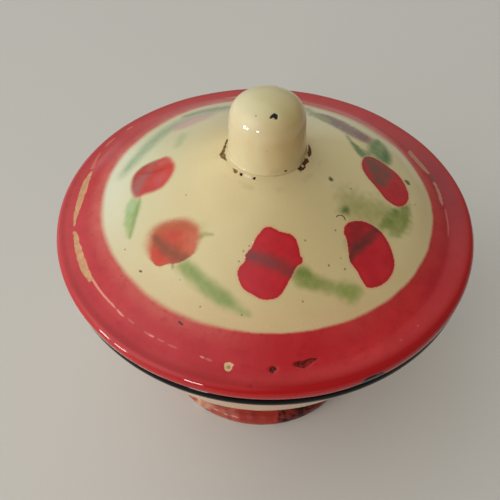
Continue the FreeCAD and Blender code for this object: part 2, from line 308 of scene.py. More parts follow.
class Coat:
    """A glossy coat: one Principled shader and the nodes that colour it. Places are in millimetres."""

    def __init__(self, name):
        self.m = bpy.data.materials.new(name)
        self.m.use_nodes = True
        self.t = self.m.node_tree
        self.t.nodes.clear()
        out = self.new("ShaderNodeOutputMaterial")
        self.bsdf = self.new("ShaderNodeBsdfPrincipled")
        self.t.links.new(self.bsdf.outputs[0], out.inputs[0])
        tc = self.new("ShaderNodeTexCoord")
        mm = self.new("ShaderNodeVectorMath", operation="SCALE")
        mm.inputs["Scale"].default_value = 1000
        self.t.links.new(tc.outputs["Object"], mm.inputs[0])
        self.p = mm.outputs[0]
        flat = self.new("ShaderNodeVectorMath", operation="MULTIPLY")
        flat.inputs[1].default_value = (1, 1, 0)
        self.t.links.new(self.p, flat.inputs[0])
        self.xy = flat.outputs[0]

    def new(self, kind, **props):
        n = self.t.nodes.new(kind)
        for k, v in props.items():
            setattr(n, k, v)
        return n

    def put(self, socket, value):
        if isinstance(value, bpy.types.NodeSocket):
            self.t.links.new(value, socket)
        else:
            socket.default_value = value

    def math(self, op, a, b=0.0, c=None, clamp=False):
        n = self.new("ShaderNodeMath", operation=op, use_clamp=clamp)
        self.put(n.inputs[0], a)
        self.put(n.inputs[1], b)
        if c is not None:
            self.put(n.inputs[2], c)
        return n.outputs[0]

    def mix(self, f, a, b, how="MIX"):
        n = self.new("ShaderNodeMix", data_type="RGBA", blend_type=how, clamp_factor=True)
        self.put(n.inputs[0], f)
        self.put(n.inputs[6], a)
        self.put(n.inputs[7], b)
        return n.outputs[2]

    def fade(self, f, a, b):
        n = self.new("ShaderNodeMix", data_type="FLOAT", clamp_factor=True)
        self.put(n.inputs[0], f)
        self.put(n.inputs[2], a)
        self.put(n.inputs[3], b)
        return n.outputs[0]

    def span(self, v, lo, hi, a=0.0, b=1.0, soft=True):
        n = self.new("ShaderNodeMapRange", interpolation_type="SMOOTHSTEP" if soft else "LINEAR", clamp=True)
        for i, x in enumerate((v, lo, hi, a, b)):
            self.put(n.inputs[i], x)
        return n.outputs[0]

    def noise(self, wave, detail=2.0, rough=0.5, shift=0.0, vec=None):
        """0 to 1, centred on 0.5; wave is the size of its blots in millimetres, and shift makes it differ from others of that size."""
        n = self.new("ShaderNodeTexNoise", noise_dimensions="3D")
        self.put(n.inputs["Vector"], vec or self.p)
        n.inputs["Scale"].default_value = 1 / wave * (1 + 0.0137 * (shift % 19))
        n.inputs["Detail"].default_value = detail
        n.inputs["Roughness"].default_value = rough
        return n.outputs[0]

    def cells(self, wave, vec=None):
        n = self.new("ShaderNodeTexVoronoi", feature="F1", voronoi_dimensions="3D")
        self.put(n.inputs["Vector"], vec or self.p)
        n.inputs["Scale"].default_value = 1 / wave
        sep = self.new("ShaderNodeSeparateColor")
        self.t.links.new(n.outputs["Color"], sep.inputs[0])
        return self.math("MULTIPLY", n.outputs["Distance"], wave), sep.outputs[0], sep.outputs[1]

    def field(self, name):
        n = self.new("ShaderNodeAttribute", attribute_type="GEOMETRY", attribute_name=name)
        return n.outputs["Fac"]

    def wash(self, name):
        """The cover and the colour of a wash."""
        n = self.new("ShaderNodeAttribute", attribute_type="GEOMETRY", attribute_name=name)
        return n.outputs["Alpha"], n.outputs["Color"]

    def dot(self, x, y, r):
        """0 at the middle of a round spot on the lid, 1 at its edge."""
        n = self.new("ShaderNodeVectorMath", operation="DISTANCE")
        self.put(n.inputs[0], self.xy)
        n.inputs[1].default_value = (x, y, 0)
        return self.math("DIVIDE", n.outputs["Value"], r)

    def dash(self, x0, y0, x1, y1, w):
        """0 on a short straight mark on the lid, 1 at its edge."""
        d = (x1 - x0, y1 - y0, 0)
        ll = d[0] * d[0] + d[1] * d[1]
        sub = self.new("ShaderNodeVectorMath", operation="SUBTRACT")
        self.put(sub.inputs[0], self.xy)
        sub.inputs[1].default_value = (x0, y0, 0)
        dot = self.new("ShaderNodeVectorMath", operation="DOT_PRODUCT")
        self.put(dot.inputs[0], sub.outputs[0])
        dot.inputs[1].default_value = (d[0] / ll, d[1] / ll, 0)
        t = self.math("ADD", dot.outputs["Value"], 0.0, clamp=True)
        along = self.new("ShaderNodeVectorMath", operation="SCALE")
        along.inputs[0].default_value = d
        self.put(along.inputs["Scale"], t)
        gap = self.new("ShaderNodeVectorMath", operation="DISTANCE")
        self.put(gap.inputs[0], sub.outputs[0])
        self.put(gap.inputs[1], along.outputs[0])
        return self.math("DIVIDE", gap.outputs["Value"], w)

    def least(self, values):
        v = values[0]
        for w in values[1:]:
            v = self.math("MINIMUM", v, w)
        return v

    def rough_edge(self, v, wave, amount, shift=0.0, detail=2.0):
        """v with its edge made uneven by noise, amount either way."""
        n = self.noise(wave, detail, 0.6, shift)
        return self.math("ADD", v, self.math("MULTIPLY", self.math("SUBTRACT", n, 0.5), 2 * amount))

    def cream(self, a, b, grain=0.03):
        """Cream glass with slow and fine unevenness."""
        slow = self.span(self.noise(38, 2, 0.5, 11), 0.3, 0.7)
        col = self.mix(slow, a, b)
        fine = self.span(self.noise(0.55, 2, 0.6, 5), 0.2, 0.8, 1 - grain, 1 + grain, False)
        dim = self.new("ShaderNodeVectorMath", operation="SCALE")
        self.put(dim.inputs[0], col)
        self.put(dim.inputs["Scale"], fine)
        return dim.outputs[0]

    def pinholes(self, wave, share, size, shift=0.0):
        """1 inside small dark pinholes in the glass, about one for each wave-sized cell that is picked."""
        d, one, two = self.cells(wave * (1 + 0.0137 * (shift % 19)))
        r = self.math("MULTIPLY", self.math("ADD", two, 0.35), size)
        hit = self.span(self.math("DIVIDE", d, r), 0.7, 1.15, 1, 0)
        return self.math("MULTIPLY", hit, self.math("LESS_THAN", one, share))

    def finish(self, colour, rough, bumps, ior=1.52, metal=None):
        """bumps is a list of heights in millimetres, and metal is 1 where the iron lies bare."""
        b = self.bsdf
        if metal is not None:
            self.put(b.inputs["Metallic"], metal)
        self.put(b.inputs["Base Color"], colour)
        self.put(b.inputs["Roughness"], rough)
        b.inputs["IOR"].default_value = ior
        total = bumps[0]
        for h in bumps[1:]:
            total = self.math("ADD", total, h)
        n = self.new("ShaderNodeBump")
        n.inputs["Strength"].default_value = 1.0
        n.inputs["Distance"].default_value = 0.001
        self.put(n.inputs["Height"], total)
        self.t.links.new(n.outputs[0], b.inputs["Normal"])
        return self.m

    def peel(self, mm=0.02):
        """The slight ripple of fired glass."""
        a = self.math("MULTIPLY", self.noise(7.0, 1, 0.4, 3), mm * 2.2)
        b = self.math("MULTIPLY", self.noise(1.6, 2, 0.5, 17), mm * 0.35)
        return self.math("ADD", a, b)

    def gloss(self, lo, hi):
        return self.span(self.noise(9, 3, 0.6, 29), 0.3, 0.75, lo, hi)


CREAM_A = rgb(217, 197, 148)
CREAM_B = rgb(209, 186, 135)
RED_A = rgb(184, 30, 38)
RED_B = rgb(192, 40, 46)
RED_LIP = rgb(170, 11, 17)
CRIMSON_A = rgb(198, 37, 46)
CRIMSON_B = rgb(187, 31, 42)
IRON = rgb(62, 30, 30)
RUST = rgb(120, 52, 44)

# ---------------------------------------------------------------- lid: shape
LID_T = 1.0
top = path(
    [(2.5, 118.8), (12.0, 118.8)],
    hollow((14.6, 118.8), (67.0, 96.1), 0.70),
    [(67.0, 96.1), (68.3, 95.45)],
    arc(72.45, 92.45, 2.55, 84, 0),
    [(75.0, 91.7)],
    arc(72.9, 91.7, 2.1, 0, -115),
)
top = dense(top)
w = smooth(top[:, 0], 10.5, 12.5) * (1 - smooth(top[:, 0], 18, 22))
v = smooth(top[:, 0], 61.0, 64.5) * (1 - smooth(top[:, 0], 70.2, 72.0))
top = soften(top, 0.30) * (1 - w - v)[:, None] + soften(top, 1.5) * w[:, None] + soften(top, 1.3) * v[:, None]
run, tag = sheet(top, LID_T, True)
r, z = run[:, 0], run[:, 1]
gap = np.where(tag > 0.75, 2.2, 0.56)
gap = np.where((tag < 0.25) & (r < 12.6), 1.6, gap)
gap = np.where((tag < 0.25) & (r >= 12.6) & (r < 17), 0.16, gap)
gap = np.where((tag < 0.25) & (r > 64.0), 0.30, gap)
gap = np.where((tag > 0.75) & (r > 66), 0.7, gap)
gap = np.where(np.abs(tag - 0.5) < 0.25, 0.3, gap)
lid = Turned(*thin_out(run, tag, gap), 592)

# the pressed ridge isn't quite concentric with the edge
w = smooth(lid.r0, 52, 65.5) * (1 - smooth(lid.r0, 68.6, 72.3))
lid.r += w * (-1.0 - 1.9 * np.cos(lid.A) - 0.9 * np.sin(lid.A))
# where things lie on the pressed lid, in millimetres
X, Y = lid.r * np.cos(lid.A), lid.r * np.sin(lid.A)
RR = lid.r.copy()
# slow waves of hand pressing and of the fire
P = lid.at()
out = smooth(lid.r0, 20, 70)
lid.z += out * (0.13 * np.sin(2 * lid.A + 0.6) + 0.07 * np.sin(3 * lid.A + 2.1) + 0.04 * np.sin(7 * lid.A + 1.0))
lid.z += smooth(lid.r0, 16, 26) * 0.05 * ripple(P, 34, 3)
# the glass fills the corner at the knob's foot
fillet = np.interp(lid.r0, [12.75, 13.05, 13.38, 13.60, 13.80, 14.10, 14.50, 15.10, 15.90, 17.0], [0, 0.60, 0.545, 0.45, 0.38, 0.29, 0.24, 0.17, 0.07, 0])
lid.z += np.where(lid.tag < 0.25, fillet, 0)
lid.r += smooth(lid.r0, 60, 74) * (0.10 * np.sin(3 * lid.A + 0.4) + 0.06 * np.sin(5 * lid.A))

# ---------------------------------------------------------------- lid: painted flowers, in millimetres on the lid
FLOWER_A = [(-1.8, -31.9), (-1.3, -30.9), (-0.4, -29.9), (0.4, -28.9), (1.6, -28.5), (2.9, -28.5), (4.1, -29.1), (5.4, -29.6), (6.9, -29.7), (8.5, -29.9), (9.7, -30.4), (10.5, -31.5), (11.1, -32.9), (11.6, -34.1), (11.7, -35.4), (11.8, -36.0), (12.5, -36.1), (12.7, -37.1), (12.4, -38.0), (11.5, -38.5), (10.7, -39.4), (10.2, -40.3), (9.8, -41.5), (9.1, -42.8), (8.3, -44.2), (7.6, -45.6), (6.8, -47.1), (5.8, -48.3), (4.5, -49.0), (2.7, -49.4), (1.0, -49.4), (-0.6, -48.8), (-2.1, -48.1), (-3.6, -47.4), (-4.8, -46.6), (-5.7, -45.2), (-6.4, -43.8), (-6.9, -42.1), (-6.7, -41.0), (-5.9, -39.8), (-5.0, -39.1), (-4.6, -38.4), (-5.0, -37.4), (-4.4, -36.5), (-3.6, -35.5), (-2.8, -34.4), (-2.4, -33.1)]
FLOWER_B = [(-36.5, -29.4), (-36.1, -27.0), (-35.0, -25.4), (-33.1, -24.4), (-30.8, -24.0), (-28.5, -23.9), (-26.1, -24.1), (-23.8, -24.7), (-22.0, -25.8), (-20.3, -27.3), (-19.3, -29.0), (-19.4, -30.9), (-19.6, -32.8), (-19.8, -34.6), (-20.6, -36.0), (-22.1, -37.1), (-23.9, -37.9), (-25.4, -38.4), (-27.3, -38.5), (-29.2, -38.6), (-31.1, -39.2), (-32.5, -38.6), (-34.3, -36.7), (-35.7, -34.2), (-36.6, -31.7)]
FLOWER_C = [(-47.1, -4.6), (-47.6, -1.4), (-47.3, 1.4), (-46.2, 3.4), (-44.6, 5.0), (-42.4, 5.8), (-40.2, 6.2), (-37.9, 6.6), (-36.1, 6.9), (-34.3, 5.4), (-32.7, 2.3), (-31.2, -1.0), (-31.1, -3.1), (-31.7, -5.7), (-32.8, -8.0), (-34.3, -9.9), (-36.3, -10.7), (-38.8, -11.0), (-41.0, -10.9), (-42.3, -11.8), (-43.8, -11.5), (-45.5, -9.4), (-46.7, -6.7)]
FLOWER_D = [(25.5, -25.9), (25.7, -24.2), (26.6, -22.8), (28.3, -21.5), (30.3, -20.7), (32.4, -20.2), (34.4, -20.4), (36.1, -20.9), (37.5, -21.6), (38.8, -22.6), (40.0, -24.3), (41.1, -26.5), (41.8, -29.1), (42.1, -31.4), (41.8, -33.8), (40.8, -36.1), (39.4, -38.2), (37.5, -39.9), (35.5, -41.1), (33.9, -41.7), (32.6, -41.8), (31.7, -40.9), (30.8, -39.3), (29.7, -37.5), (28.5, -36.1), (27.4, -35.1), (27.1, -33.9), (26.9, -31.4), (26.6, -29.2), (26.3, -27.8), (25.8, -27.1)]
FLOWER_E = [(33.4, 6.4), (34.3, 9.8), (36.1, 12.4), (38.2, 13.4), (40.5, 13.0), (42.7, 11.8), (45.3, 10.2), (47.4, 8.5), (49.0, 5.9), (50.0, 2.6), (50.5, -0.8), (50.0, -3.9), (48.7, -6.7), (46.5, -8.8), (44.6, -9.4), (42.5, -8.8), (40.4, -7.5), (38.8, -5.1), (37.1, -2.9), (35.4, -1.1), (34.0, 1.2), (33.3, 3.4)]
FLOWER_F = [(19.9, 44.0), (25.5, 42.4), (30.9, 38.6), (36.1, 33.9), (40.2, 30.3), (40.5, 27.0), (37.8, 22.9), (33.5, 23.4), (29.0, 25.8), (24.3, 30.4), (19.9, 35.1), (18.6, 39.5)]
FLOWER_G = [(-38.4, 31.0), (-33.7, 35.8), (-28.7, 38.9), (-23.1, 39.6), (-21.6, 36.5), (-24.7, 32.2), (-29.0, 28.8), (-33.4, 26.2), (-36.7, 26.9)]
FLOWER_H = turn(FLOWER_D, 131, 0.97)

F = lid.fields
face = lid.tag < 0.5
far = np.where(face, 0.0, 40.0)


def paint(f):
    """A painted field lies on the outer face only, not on the underside."""
    return np.clip(f, -30, 30) + far


def union(*fs):
    return np.minimum.reduce(fs)


def area(pts, soft, seed, ragged=0.16, grow=0.0):
    """Cover of a sprayed patch: 1 inside, fading over soft millimetres."""
    return 1 - smooth(outline(X, Y, pts) - grow + ragged * ripple(P, 3.2, seed), -0.75 * soft, 0.55 * soft)


def brush(pts, widths, seed, lo=0.25, hi=1.25):
    """Cover of a brush stroke."""
    return 1 - smooth(stroke(X, Y, pts, widths) + 0.10 * ripple(P, 2.6, seed), lo, hi)


class Wash:
    """Thin layers of colour, one over the other, kept as one colour and one cover for each point."""

    def __init__(self, ground):
        self.c = np.zeros(lid.r0.shape + (3,))
        self.a = np.zeros(lid.r0.shape)
        self.ground = np.array(ground[:3])

    def lay(self, cover, colour, strength):
        cover = np.where(face, np.clip(cover * strength * streaks, 0, 1), 0)
        self.c += (np.array(colour[:3]) - self.c) * cover[..., None]
        self.a += (1 - self.a) * cover

    def done(self):
        c = np.where(self.a[..., None] > 0.01, self.c / np.maximum(self.a, 0.01)[..., None], self.ground)
        return np.concatenate([c, self.a[..., None]], -1)


streaks = 0.93 + 0.05 * ripple(P, 2.3, 77) + 0.04 * ripple(P, 5.5, 78)
F["crisp"] = paint(union(outline(X, Y, FLOWER_A), outline(X, Y, FLOWER_D), outline(X, Y, FLOWER_E)))
F["spray"] = paint(outline(X, Y, FLOWER_B))
F["mid"] = paint(union(outline(X, Y, FLOWER_C), outline(X, Y, FLOWER_H)))
# spray edges are soft on one side of a flower and crisp on the other
F["spraysoft"] = 0.22 + 1.55 * smooth(Y, -38.2, -30.5) + 0.8 * smooth(-X, 31, 36) * smooth(Y, -38.5, -34)

# greens on the cream
w = Wash(rgb(150, 166, 96))
LEAF_A = [(9.5, -40.6), (10.9, -39.0), (13.4, -38.7), (15.5, -40.2), (18.6, -41.6), (22.0, -42.0), (22.6, -43.8), (20.5, -45.1), (16.6, -45.1), (12.6, -44.7), (9.9, -43.2)]
LEAF_A2 = [(21.7, -42.7), (24.2, -41.3), (27.3, -41.2), (30.1, -41.7), (31.3, -43.1), (30.0, -45.4), (28.4, -47.0), (26.0, -46.9), (23.5, -46.0), (22.0, -44.4)]
LEAF_B = [(-25.4, -38.7), (-23.0, -37.8), (-21.0, -38.7), (-18.9, -40.8), (-16.2, -43.3), (-13.3, -45.4), (-10.5, -46.8), (-8.6, -48.5), (-6.7, -50.4), (-4.5, -52.0), (-2.2, -53.7), (-3.2, -54.2), (-5.3, -53.2), (-8.3, -52.4), (-10.7, -51.6), (-13.8, -49.9), (-17.0, -47.6), (-20.4, -44.9), (-23.4, -42.0), (-25.9, -39.8)]
CORE_B = [(-23.5, -38.5), (-21.2, -39.9), (-18.2, -42.3), (-15.5, -44.6), (-12.6, -46.3), (-9.8, -48.2), (-7.5, -50.6), (-10.2, -50.6), (-13.3, -48.5), (-16.3, -46.0), (-19.2, -43.7), (-22.0, -41.2)]
w.lay(area([(27.9, -11.5), (32.1, -12.1), (37.1, -12.0), (41.8, -12.1), (40.1, -18.4), (36.3, -18.6), (31.4, -18.9), (27.7, -18.7), (26.0, -16.0)], 7.5, 201, 0.6, 2.6), rgb(150, 148, 78), 0.72)
w.lay(area([(-53.4, 1.6), (-51.7, 9.6), (-48.7, 17.7), (-45.1, 25.4), (-41.2, 33.2), (-36.3, 39.5), (-30.6, 42.9), (-23.9, 44.7), (-16.3, 45.4), (-15.7, 40.4), (-22.1, 39.4), (-27.8, 37.6), (-33.2, 33.6), (-37.4, 28.2), (-40.8, 21.3), (-44.2, 14.3), (-47.6, 8.1), (-50.6, 2.4)], 3.8, 202, grow=0.7), rgb(150, 170, 132), 0.74)
w.lay(brush([(-51.2, 6.0), (-46.8, 15.7), (-42.3, 24.9), (-37.6, 32.6)], (1.6, 2.4, 2.6, 2.0), 203, 0.0, 1.4), rgb(142, 164, 128), 0.40)
w.lay(area([(-31.9, 22.5), (-30.4, 18.0), (-31.1, 12.9), (-32.5, 10.2), (-33.7, 11.9), (-33.5, 18.3)], 2.8, 204, grow=0.6), rgb(160, 176, 124), 0.58)
w.lay(area(FLOWER_G, 3.6, 205, grow=0.7), rgb(196, 150, 148), 0.74)
w.lay(brush([(-34.3, 41.4), (-28.8, 43.8), (-23.1, 45.3), (-16.5, 46.0), (-8.0, 46.6)], (2.2, 3.4, 3.8, 3.6, 1.6), 206, 0.0, 1.4), rgb(120, 130, 104), 0.74)
w.lay(area([(-45.4, -10.1), (-41.4, -12.7), (-41.4, -16.7), (-41.8, -21.3), (-42.3, -26.1), (-42.9, -28.5), (-44.5, -26.7), (-46.4, -21.4), (-47.1, -15.5), (-46.5, -11.8)], 1.8, 207), rgb(150, 174, 104), 0.86)
w.lay(area([(-42.4, -13.1), (-42.1, -17.7), (-42.5, -22.3), (-42.9, -26.7), (-44.0, -22.7), (-44.2, -17.1)], 1.8, 208), rgb(134, 156, 74), 0.55)
w.lay(area([(-46.5, -12.7), (-43.9, -13.0), (-43.4, -17.4), (-45.9, -17.5)], 2.4, 234), rgb(168, 194, 150), 0.60)
w.lay(brush([(-42.2, -12.2), (-42.3, -17.6), (-42.6, -23.0), (-43.0, -27.4)], (0.6, 0.8, 0.8, 0.6), 235, 0.0, 1.4), rgb(124, 142, 78), 0.60)
w.lay(area(LEAF_B, 2.6, 209, grow=0.5), rgb(150, 158, 92), 0.92)
w.lay(area(CORE_B, 3.2, 210, grow=0.5), rgb(126, 146, 74), 0.85)
w.lay(area(LEAF_A, 2.4, 211, grow=0.5), rgb(134, 141, 72), 0.92)
w.lay(area([(10.4, -40.0), (13.1, -39.2), (15.2, -40.5), (13.8, -42.4), (11.4, -42.1)], 2.6, 212), rgb(106, 126, 52), 0.90)
w.lay(area(LEAF_A2, 2.6, 213, grow=0.4), rgb(142, 150, 78), 0.90)
w.lay(area([(23.5, -43.3), (26.6, -42.6), (29.4, -43.0), (29.4, -45.3), (26.6, -45.9), (24.2, -45.1)], 2.4, 214), rgb(130, 144, 64), 0.72)
w.lay(brush([(-19.9, -30.9), (-18.4, -30.4), (-16.8, -30.3), (-15.2, -30.6)], (1.15, 1.0, 0.8, 0.45), 215), rgb(150, 150, 90), 0.80)
w.lay(area([(-19.7, -26.1), (-17.8, -26.7), (-16.6, -29.0), (-18.4, -29.8), (-19.8, -28.3)], 2.6, 216), rgb(176, 176, 110), 0.40)
w.lay(brush([(-27.4, -37.7), (-27.1, -38.8), (-26.9, -40.1)], (0.6, 0.55, 0.4), 217), rgb(112, 112, 72), 0.55)
w.lay(area(FLOWER_F, 2.6, 218, grow=0.3), rgb(148, 86, 80), 0.92)
w.lay(brush([(19.0, 40.0), (25.0, 36.5), (31.0, 31.5), (36.0, 27.8)], (5.2, 5.2, 4.6, 3.2), 219, 0.0, 1.4), rgb(98, 86, 76), 0.84)
w.lay(area([(36.4, 17.9), (39.4, 16.3), (37.9, 11.3), (34.5, 11.6)], 2.6, 220), rgb(156, 172, 116), 0.55)
w.lay(area([(28.5, 24.7), (29.7, 24.2), (31.9, 19.3), (34.6, 15.9), (36.2, 12.7), (33.8, 9.2), (31.9, 12.5), (30.1, 17.5)], 1.5, 221), rgb(92, 126, 70), 0.94)
w.lay(area([(39.3, 27.0), (43.0, 31.6), (45.0, 29.0), (46.3, 24.4), (46.8, 18.8), (45.8, 13.7), (43.2, 10.8), (40.4, 12.2), (38.5, 15.7), (36.8, 18.9)], 2.4, 222), rgb(106, 136, 82), 0.94)
w.lay(area([(30.6, 16.6), (32.4, 12.4), (33.6, 9.0), (36.0, 11.6), (38.6, 13.2), (39.8, 19.0), (36.6, 17.0), (33.6, 17.2)], 2.8, 233), rgb(118, 144, 92), 0.72)
w.lay(area([(44.6, 24.5), (46.0, 21.6), (46.3, 16.7), (44.5, 12.9), (42.5, 14.2), (42.6, 19.3)], 3.0, 223), rgb(74, 110, 56), 0.85)
w.lay(area([(43.0, -11.0), (49.2, -5.5), (50.3, -8.4), (49.9, -13.4), (48.2, -18.1), (45.5, -22.2), (41.9, -22.6), (39.1, -21.0), (37.6, -19.7), (40.0, -15.7)], 2.8, 224, 0.5), rgb(134, 142, 70), 0.92)
w.lay(area([(47.5, -7.2), (45.1, -11.5), (42.2, -15.6), (39.0, -19.5), (40.4, -15.7), (43.7, -11.1)], 2.8, 225, 0.5), rgb(96, 124, 50), 0.88)
w.lay(area([(48.6, -7.4), (49.8, -10.0), (48.7, -15.1), (46.0, -20.5), (45.2, -18.1), (47.2, -12.4)], 2.8, 226, 0.5), rgb(116, 130, 56), 0.66)
w.lay(area([(24.6, -18.3), (25.7, -17.1), (27.4, -17.4), (27.0, -19.3), (25.0, -20.0)], 1.8, 227, grow=0.4), rgb(84, 106, 44), 1.0)
w.lay(area([(25.8, -27.1), (26.5, -30.2), (26.6, -32.4), (25.2, -31.8), (25.2, -28.6)], 1.4, 228), rgb(156, 166, 98), 0.55)
w.lay(area(turn(LEAF_A, 131, 0.95), 1.7, 229), rgb(134, 141, 72), 0.92)
w.lay(area(turn(LEAF_A2, 131, 0.95), 1.8, 230), rgb(142, 150, 78), 0.90)
w.lay(area(turn(LEAF_B, 196), 2.0, 231), rgb(150, 158, 92), 0.92)
w.lay(area(turn(CORE_B, 196), 2.8, 232), rgb(126, 146, 74), 0.85)
F["green"] = w.done()

# the same translucent strokes where they cross the red
w = Wash(rgb(112, 70, 58))
w.lay(area([(25.6, -24.6), (27.6, -21.9), (31.7, -20.2), (34.7, -21.0), (32.8, -25.9), (29.4, -29.1), (27.1, -31.3), (25.8, -28.4)], 3.4, 251, 0.5), rgb(112, 34, 36), 0.62)
w.lay(brush([(-4.6, -37.1), (-1.5, -37.4), (2.2, -38.5), (6.1, -39.8), (9.8, -40.9)], (2.0, 2.6, 3.0, 3.3, 3.0), 252, 0.05, 1.3), rgb(124, 54, 52), 0.80)
w.lay(brush([(-4.2, -36.9), (-1.5, -37.4), (1.6, -38.4), (4.0, -39.4)], (1.2, 1.7, 1.8, 1.4), 253, 0.0, 1.4), rgb(118, 66, 64), 0.55)
w.lay(area([(-24.0, -28.7), (-20.8, -27.5), (-19.4, -31.8), (-19.8, -35.5), (-22.4, -36.8), (-24.1, -33.2)], 5.0, 261, 0.4), rgb(208, 112, 84), 0.62)
w.lay(brush([(-34.0, -26.0), (-31.0, -24.9), (-27.8, -24.9), (-24.0, -26.0), (-21.2, -27.8)], (2.2, 2.6, 2.7, 2.6, 1.8), 262, 0.0, 1.4), rgb(174, 82, 48), 0.66)
w.lay(area([(-29.6, -28.0), (-27.7, -27.2), (-25.4, -28.8), (-27.0, -30.6)], 2.2, 263, 0.4), rgb(206, 44, 38), 0.62)
w.lay(area([(-31.6, -31.8), (-30.7, -28.4), (-28.6, -30.2), (-29.4, -32.6)], 2.2, 264, 0.4), rgb(172, 44, 36), 0.55)
w.lay(area([(-36.2, -32.6), (-34.6, -37.4), (-31.5, -39.2), (-28.4, -38.2), (-29.6, -35.6), (-33.2, -32.2)], 3.6, 265, 0.4), rgb(208, 40, 30), 0.80)
w.lay(brush([(-34.6, -28.6), (-33.0, -30.6), (-30.3, -33.5), (-27.0, -35.8), (-23.3, -37.7)], (1.2, 1.9, 2.2, 2.4, 2.2), 254, 0.0, 1.4), rgb(118, 66, 36), 0.84)
w.lay(area([(-28.9, -38.2), (-27.4, -36.8), (-25.4, -37.6), (-26.6, -38.6)], 1.8, 266, 0.3), rgb(186, 46, 56), 0.60)
w.lay(brush([(27.1, -33.2), (29.7, -29.9), (32.4, -27.5), (34.6, -24.3), (37.5, -20.4)], (2.4, 2.5, 2.4, 2.2, 1.9), 255, 0.05, 1.3), rgb(84, 48, 42), 0.84)
w.lay(area([(34.8, 11.1), (38.1, 12.7), (41.5, 11.7), (44.9, 10.6), (45.6, 7.5), (44.2, 2.7), (41.3, -2.1), (38.6, -2.8), (36.4, 1.0), (34.6, 5.4)], 3.0, 256, 0.5), rgb(112, 74, 60), 0.88)
w.lay(area([(-39.4, 4.4), (-36.4, 7.0), (-33.6, 6.0), (-32.4, 2.3), (-35.1, 1.1), (-38.2, 1.2)], 3.2, 267, 0.4), rgb(204, 92, 82), 0.62)
w.lay(area([(-40.2, -4.0), (-38.1, -2.4), (-34.4, -2.5), (-31.8, -3.7), (-33.5, -7.2), (-37.0, -9.4)], 3.6, 268, 0.4), rgb(202, 84, 82), 0.58)
w.lay(brush([(-39.6, -1.2), (-36.4, -0.6), (-33.6, -0.1), (-31.2, 0.8)], (0.9, 1.3, 1.7, 1.9), 269, 0.0, 1.4), rgb(200, 40, 28), 0.66)
w.lay(brush([(-46.6, -5.4), (-46.6, -0.4), (-45.2, 2.6), (-42.6, 4.6)], (1.2, 1.5, 1.5, 1.1), 270, 0.0, 1.4), rgb(140, 62, 46), 0.66)
w.lay(brush([(-45.0, -9.6), (-44.3, -5.0), (-43.0, -2.0), (-41.4, 0.4)], (2.6, 3.0, 2.6, 1.6), 257, 0.0, 1.4), rgb(150, 98, 94), 0.76)
w.lay(brush([(-44.9, 3.0), (-42.7, 5.4), (-39.8, 6.5), (-36.5, 7.3)], (0.7, 0.9, 0.9, 0.6), 271, 0.0, 1.4), rgb(138, 92, 66), 0.60)
w.lay(brush([(-42.4, 7.6), (-40.7, 5.0), (-41.0, 2.9)], (2.0, 2.2, 1.6), 258, 0.0, 1.4), rgb(146, 98, 80), 0.60)
w.lay(brush([(-44.6, 0.8), (-41.4, -0.2), (-38.4, -0.9), (-36.0, -0.6)], (0.9, 1.1, 1.0, 0.7), 259, 0.0, 1.4), rgb(156, 34, 34), 0.55)
w.lay(brush(turn([(27.1, -33.2), (29.7, -29.9), (32.4, -27.5), (34.6, -24.3), (37.5, -20.4)], 131, 0.97), (1.9, 1.9, 1.8, 1.7, 1.5), 260), rgb(92, 58, 50), 0.8)
F["brown"] = w.done()

# red border: its inner edge is a little off centre, soft to the left and at the far side, crisp in front
az = (np.degrees(lid.A) + 180) % 360 - 180
edge = np.interp(az, [-180, -168, -156, -144, -132, -120, -108, -96, -84, -72, -60, -48, -36, -24, -12, 0, 12, 24, 36, 60, 90, 105, 120, 132, 144, 156, 168, 180],
                 [57.6, 57.4, 57.7, 57.8, 58.0, 58.3, 58.5, 58.25, 58.45, 58.45, 58.75, 58.9, 59.0, 59.2, 59.25, 59.4, 59.2, 58.8, 58.6, 58.8, 58.6, 58.4, 58.6, 58.2, 57.0, 56.7, 57.5, 57.6])
edge += 0.03 * np.sin(9 * lid.A + 2.0) + 0.05 * ripple(P, 9, 5)
F["edge"] = np.where(face, np.clip(RR - edge, -20, 20), -20)
F["edgesoft"] = np.interp(az, [-180, -165, -150, -135, -120, -108, -100, -92, -75, -60, -40, -15, 10, 40, 90, 130, 160, 180], [1.25, 1.35, 1.05, 0.95, 1.1, 1.0, 0.75, 0.45, 0.42, 0.6, 0.55, 0.6, 0.8, 1.3, 1.6, 1.8, 1.6, 1.25])
# thin red at the soft inner edge, strongest on the left, with painted light as a lighter red on the left brim; deep red
# on the rolled edge, kept mostly off the lit left as painted shade on the front and right; and a fog of red in front,
# partly spray and partly painted red light reflected up from below


def side(middle, width):
    """1 at one azimuth, falling away over width degrees either way."""
    return np.exp(-(((az - middle + 180) % 360 - 180) / width) ** 2)


F["thin_red_and_painted_light"] = np.clip((1 - smooth(F["edge"], 0.8, 6.5)) * np.interp(F["edgesoft"], [0.45, 1.35], [0.06, 1.0]) + 0.06 * smooth(RR, 66.0, 69.0) * side(188, 42), 0, 1)
F["lip"] = smooth(RR, 70.4, 73.0) * (1 - 0.75 * side(185, 50))
F["red_fog_and_bounce"] = smooth(F["edge"], -14, 0) * (0.04 + 0.23 * side(-80, 42))
# painted cool sheen on the left of the cream, and painted paler light behind the knob on the right
F["painted_sheen_and_light"] = np.clip(smooth(RR, 15, 46) * 0.95 * side(168, 48) + smooth(RR, 14, 34) * 0.9 * side(66, 46), 0, 1)
# painted light on the cream right of the knob, where its shadow falls
F["bright"] = np.where(face, smooth(RR, 12, 17) * (1 - smooth(RR, 34, 52)) * side(18, 44), 0)
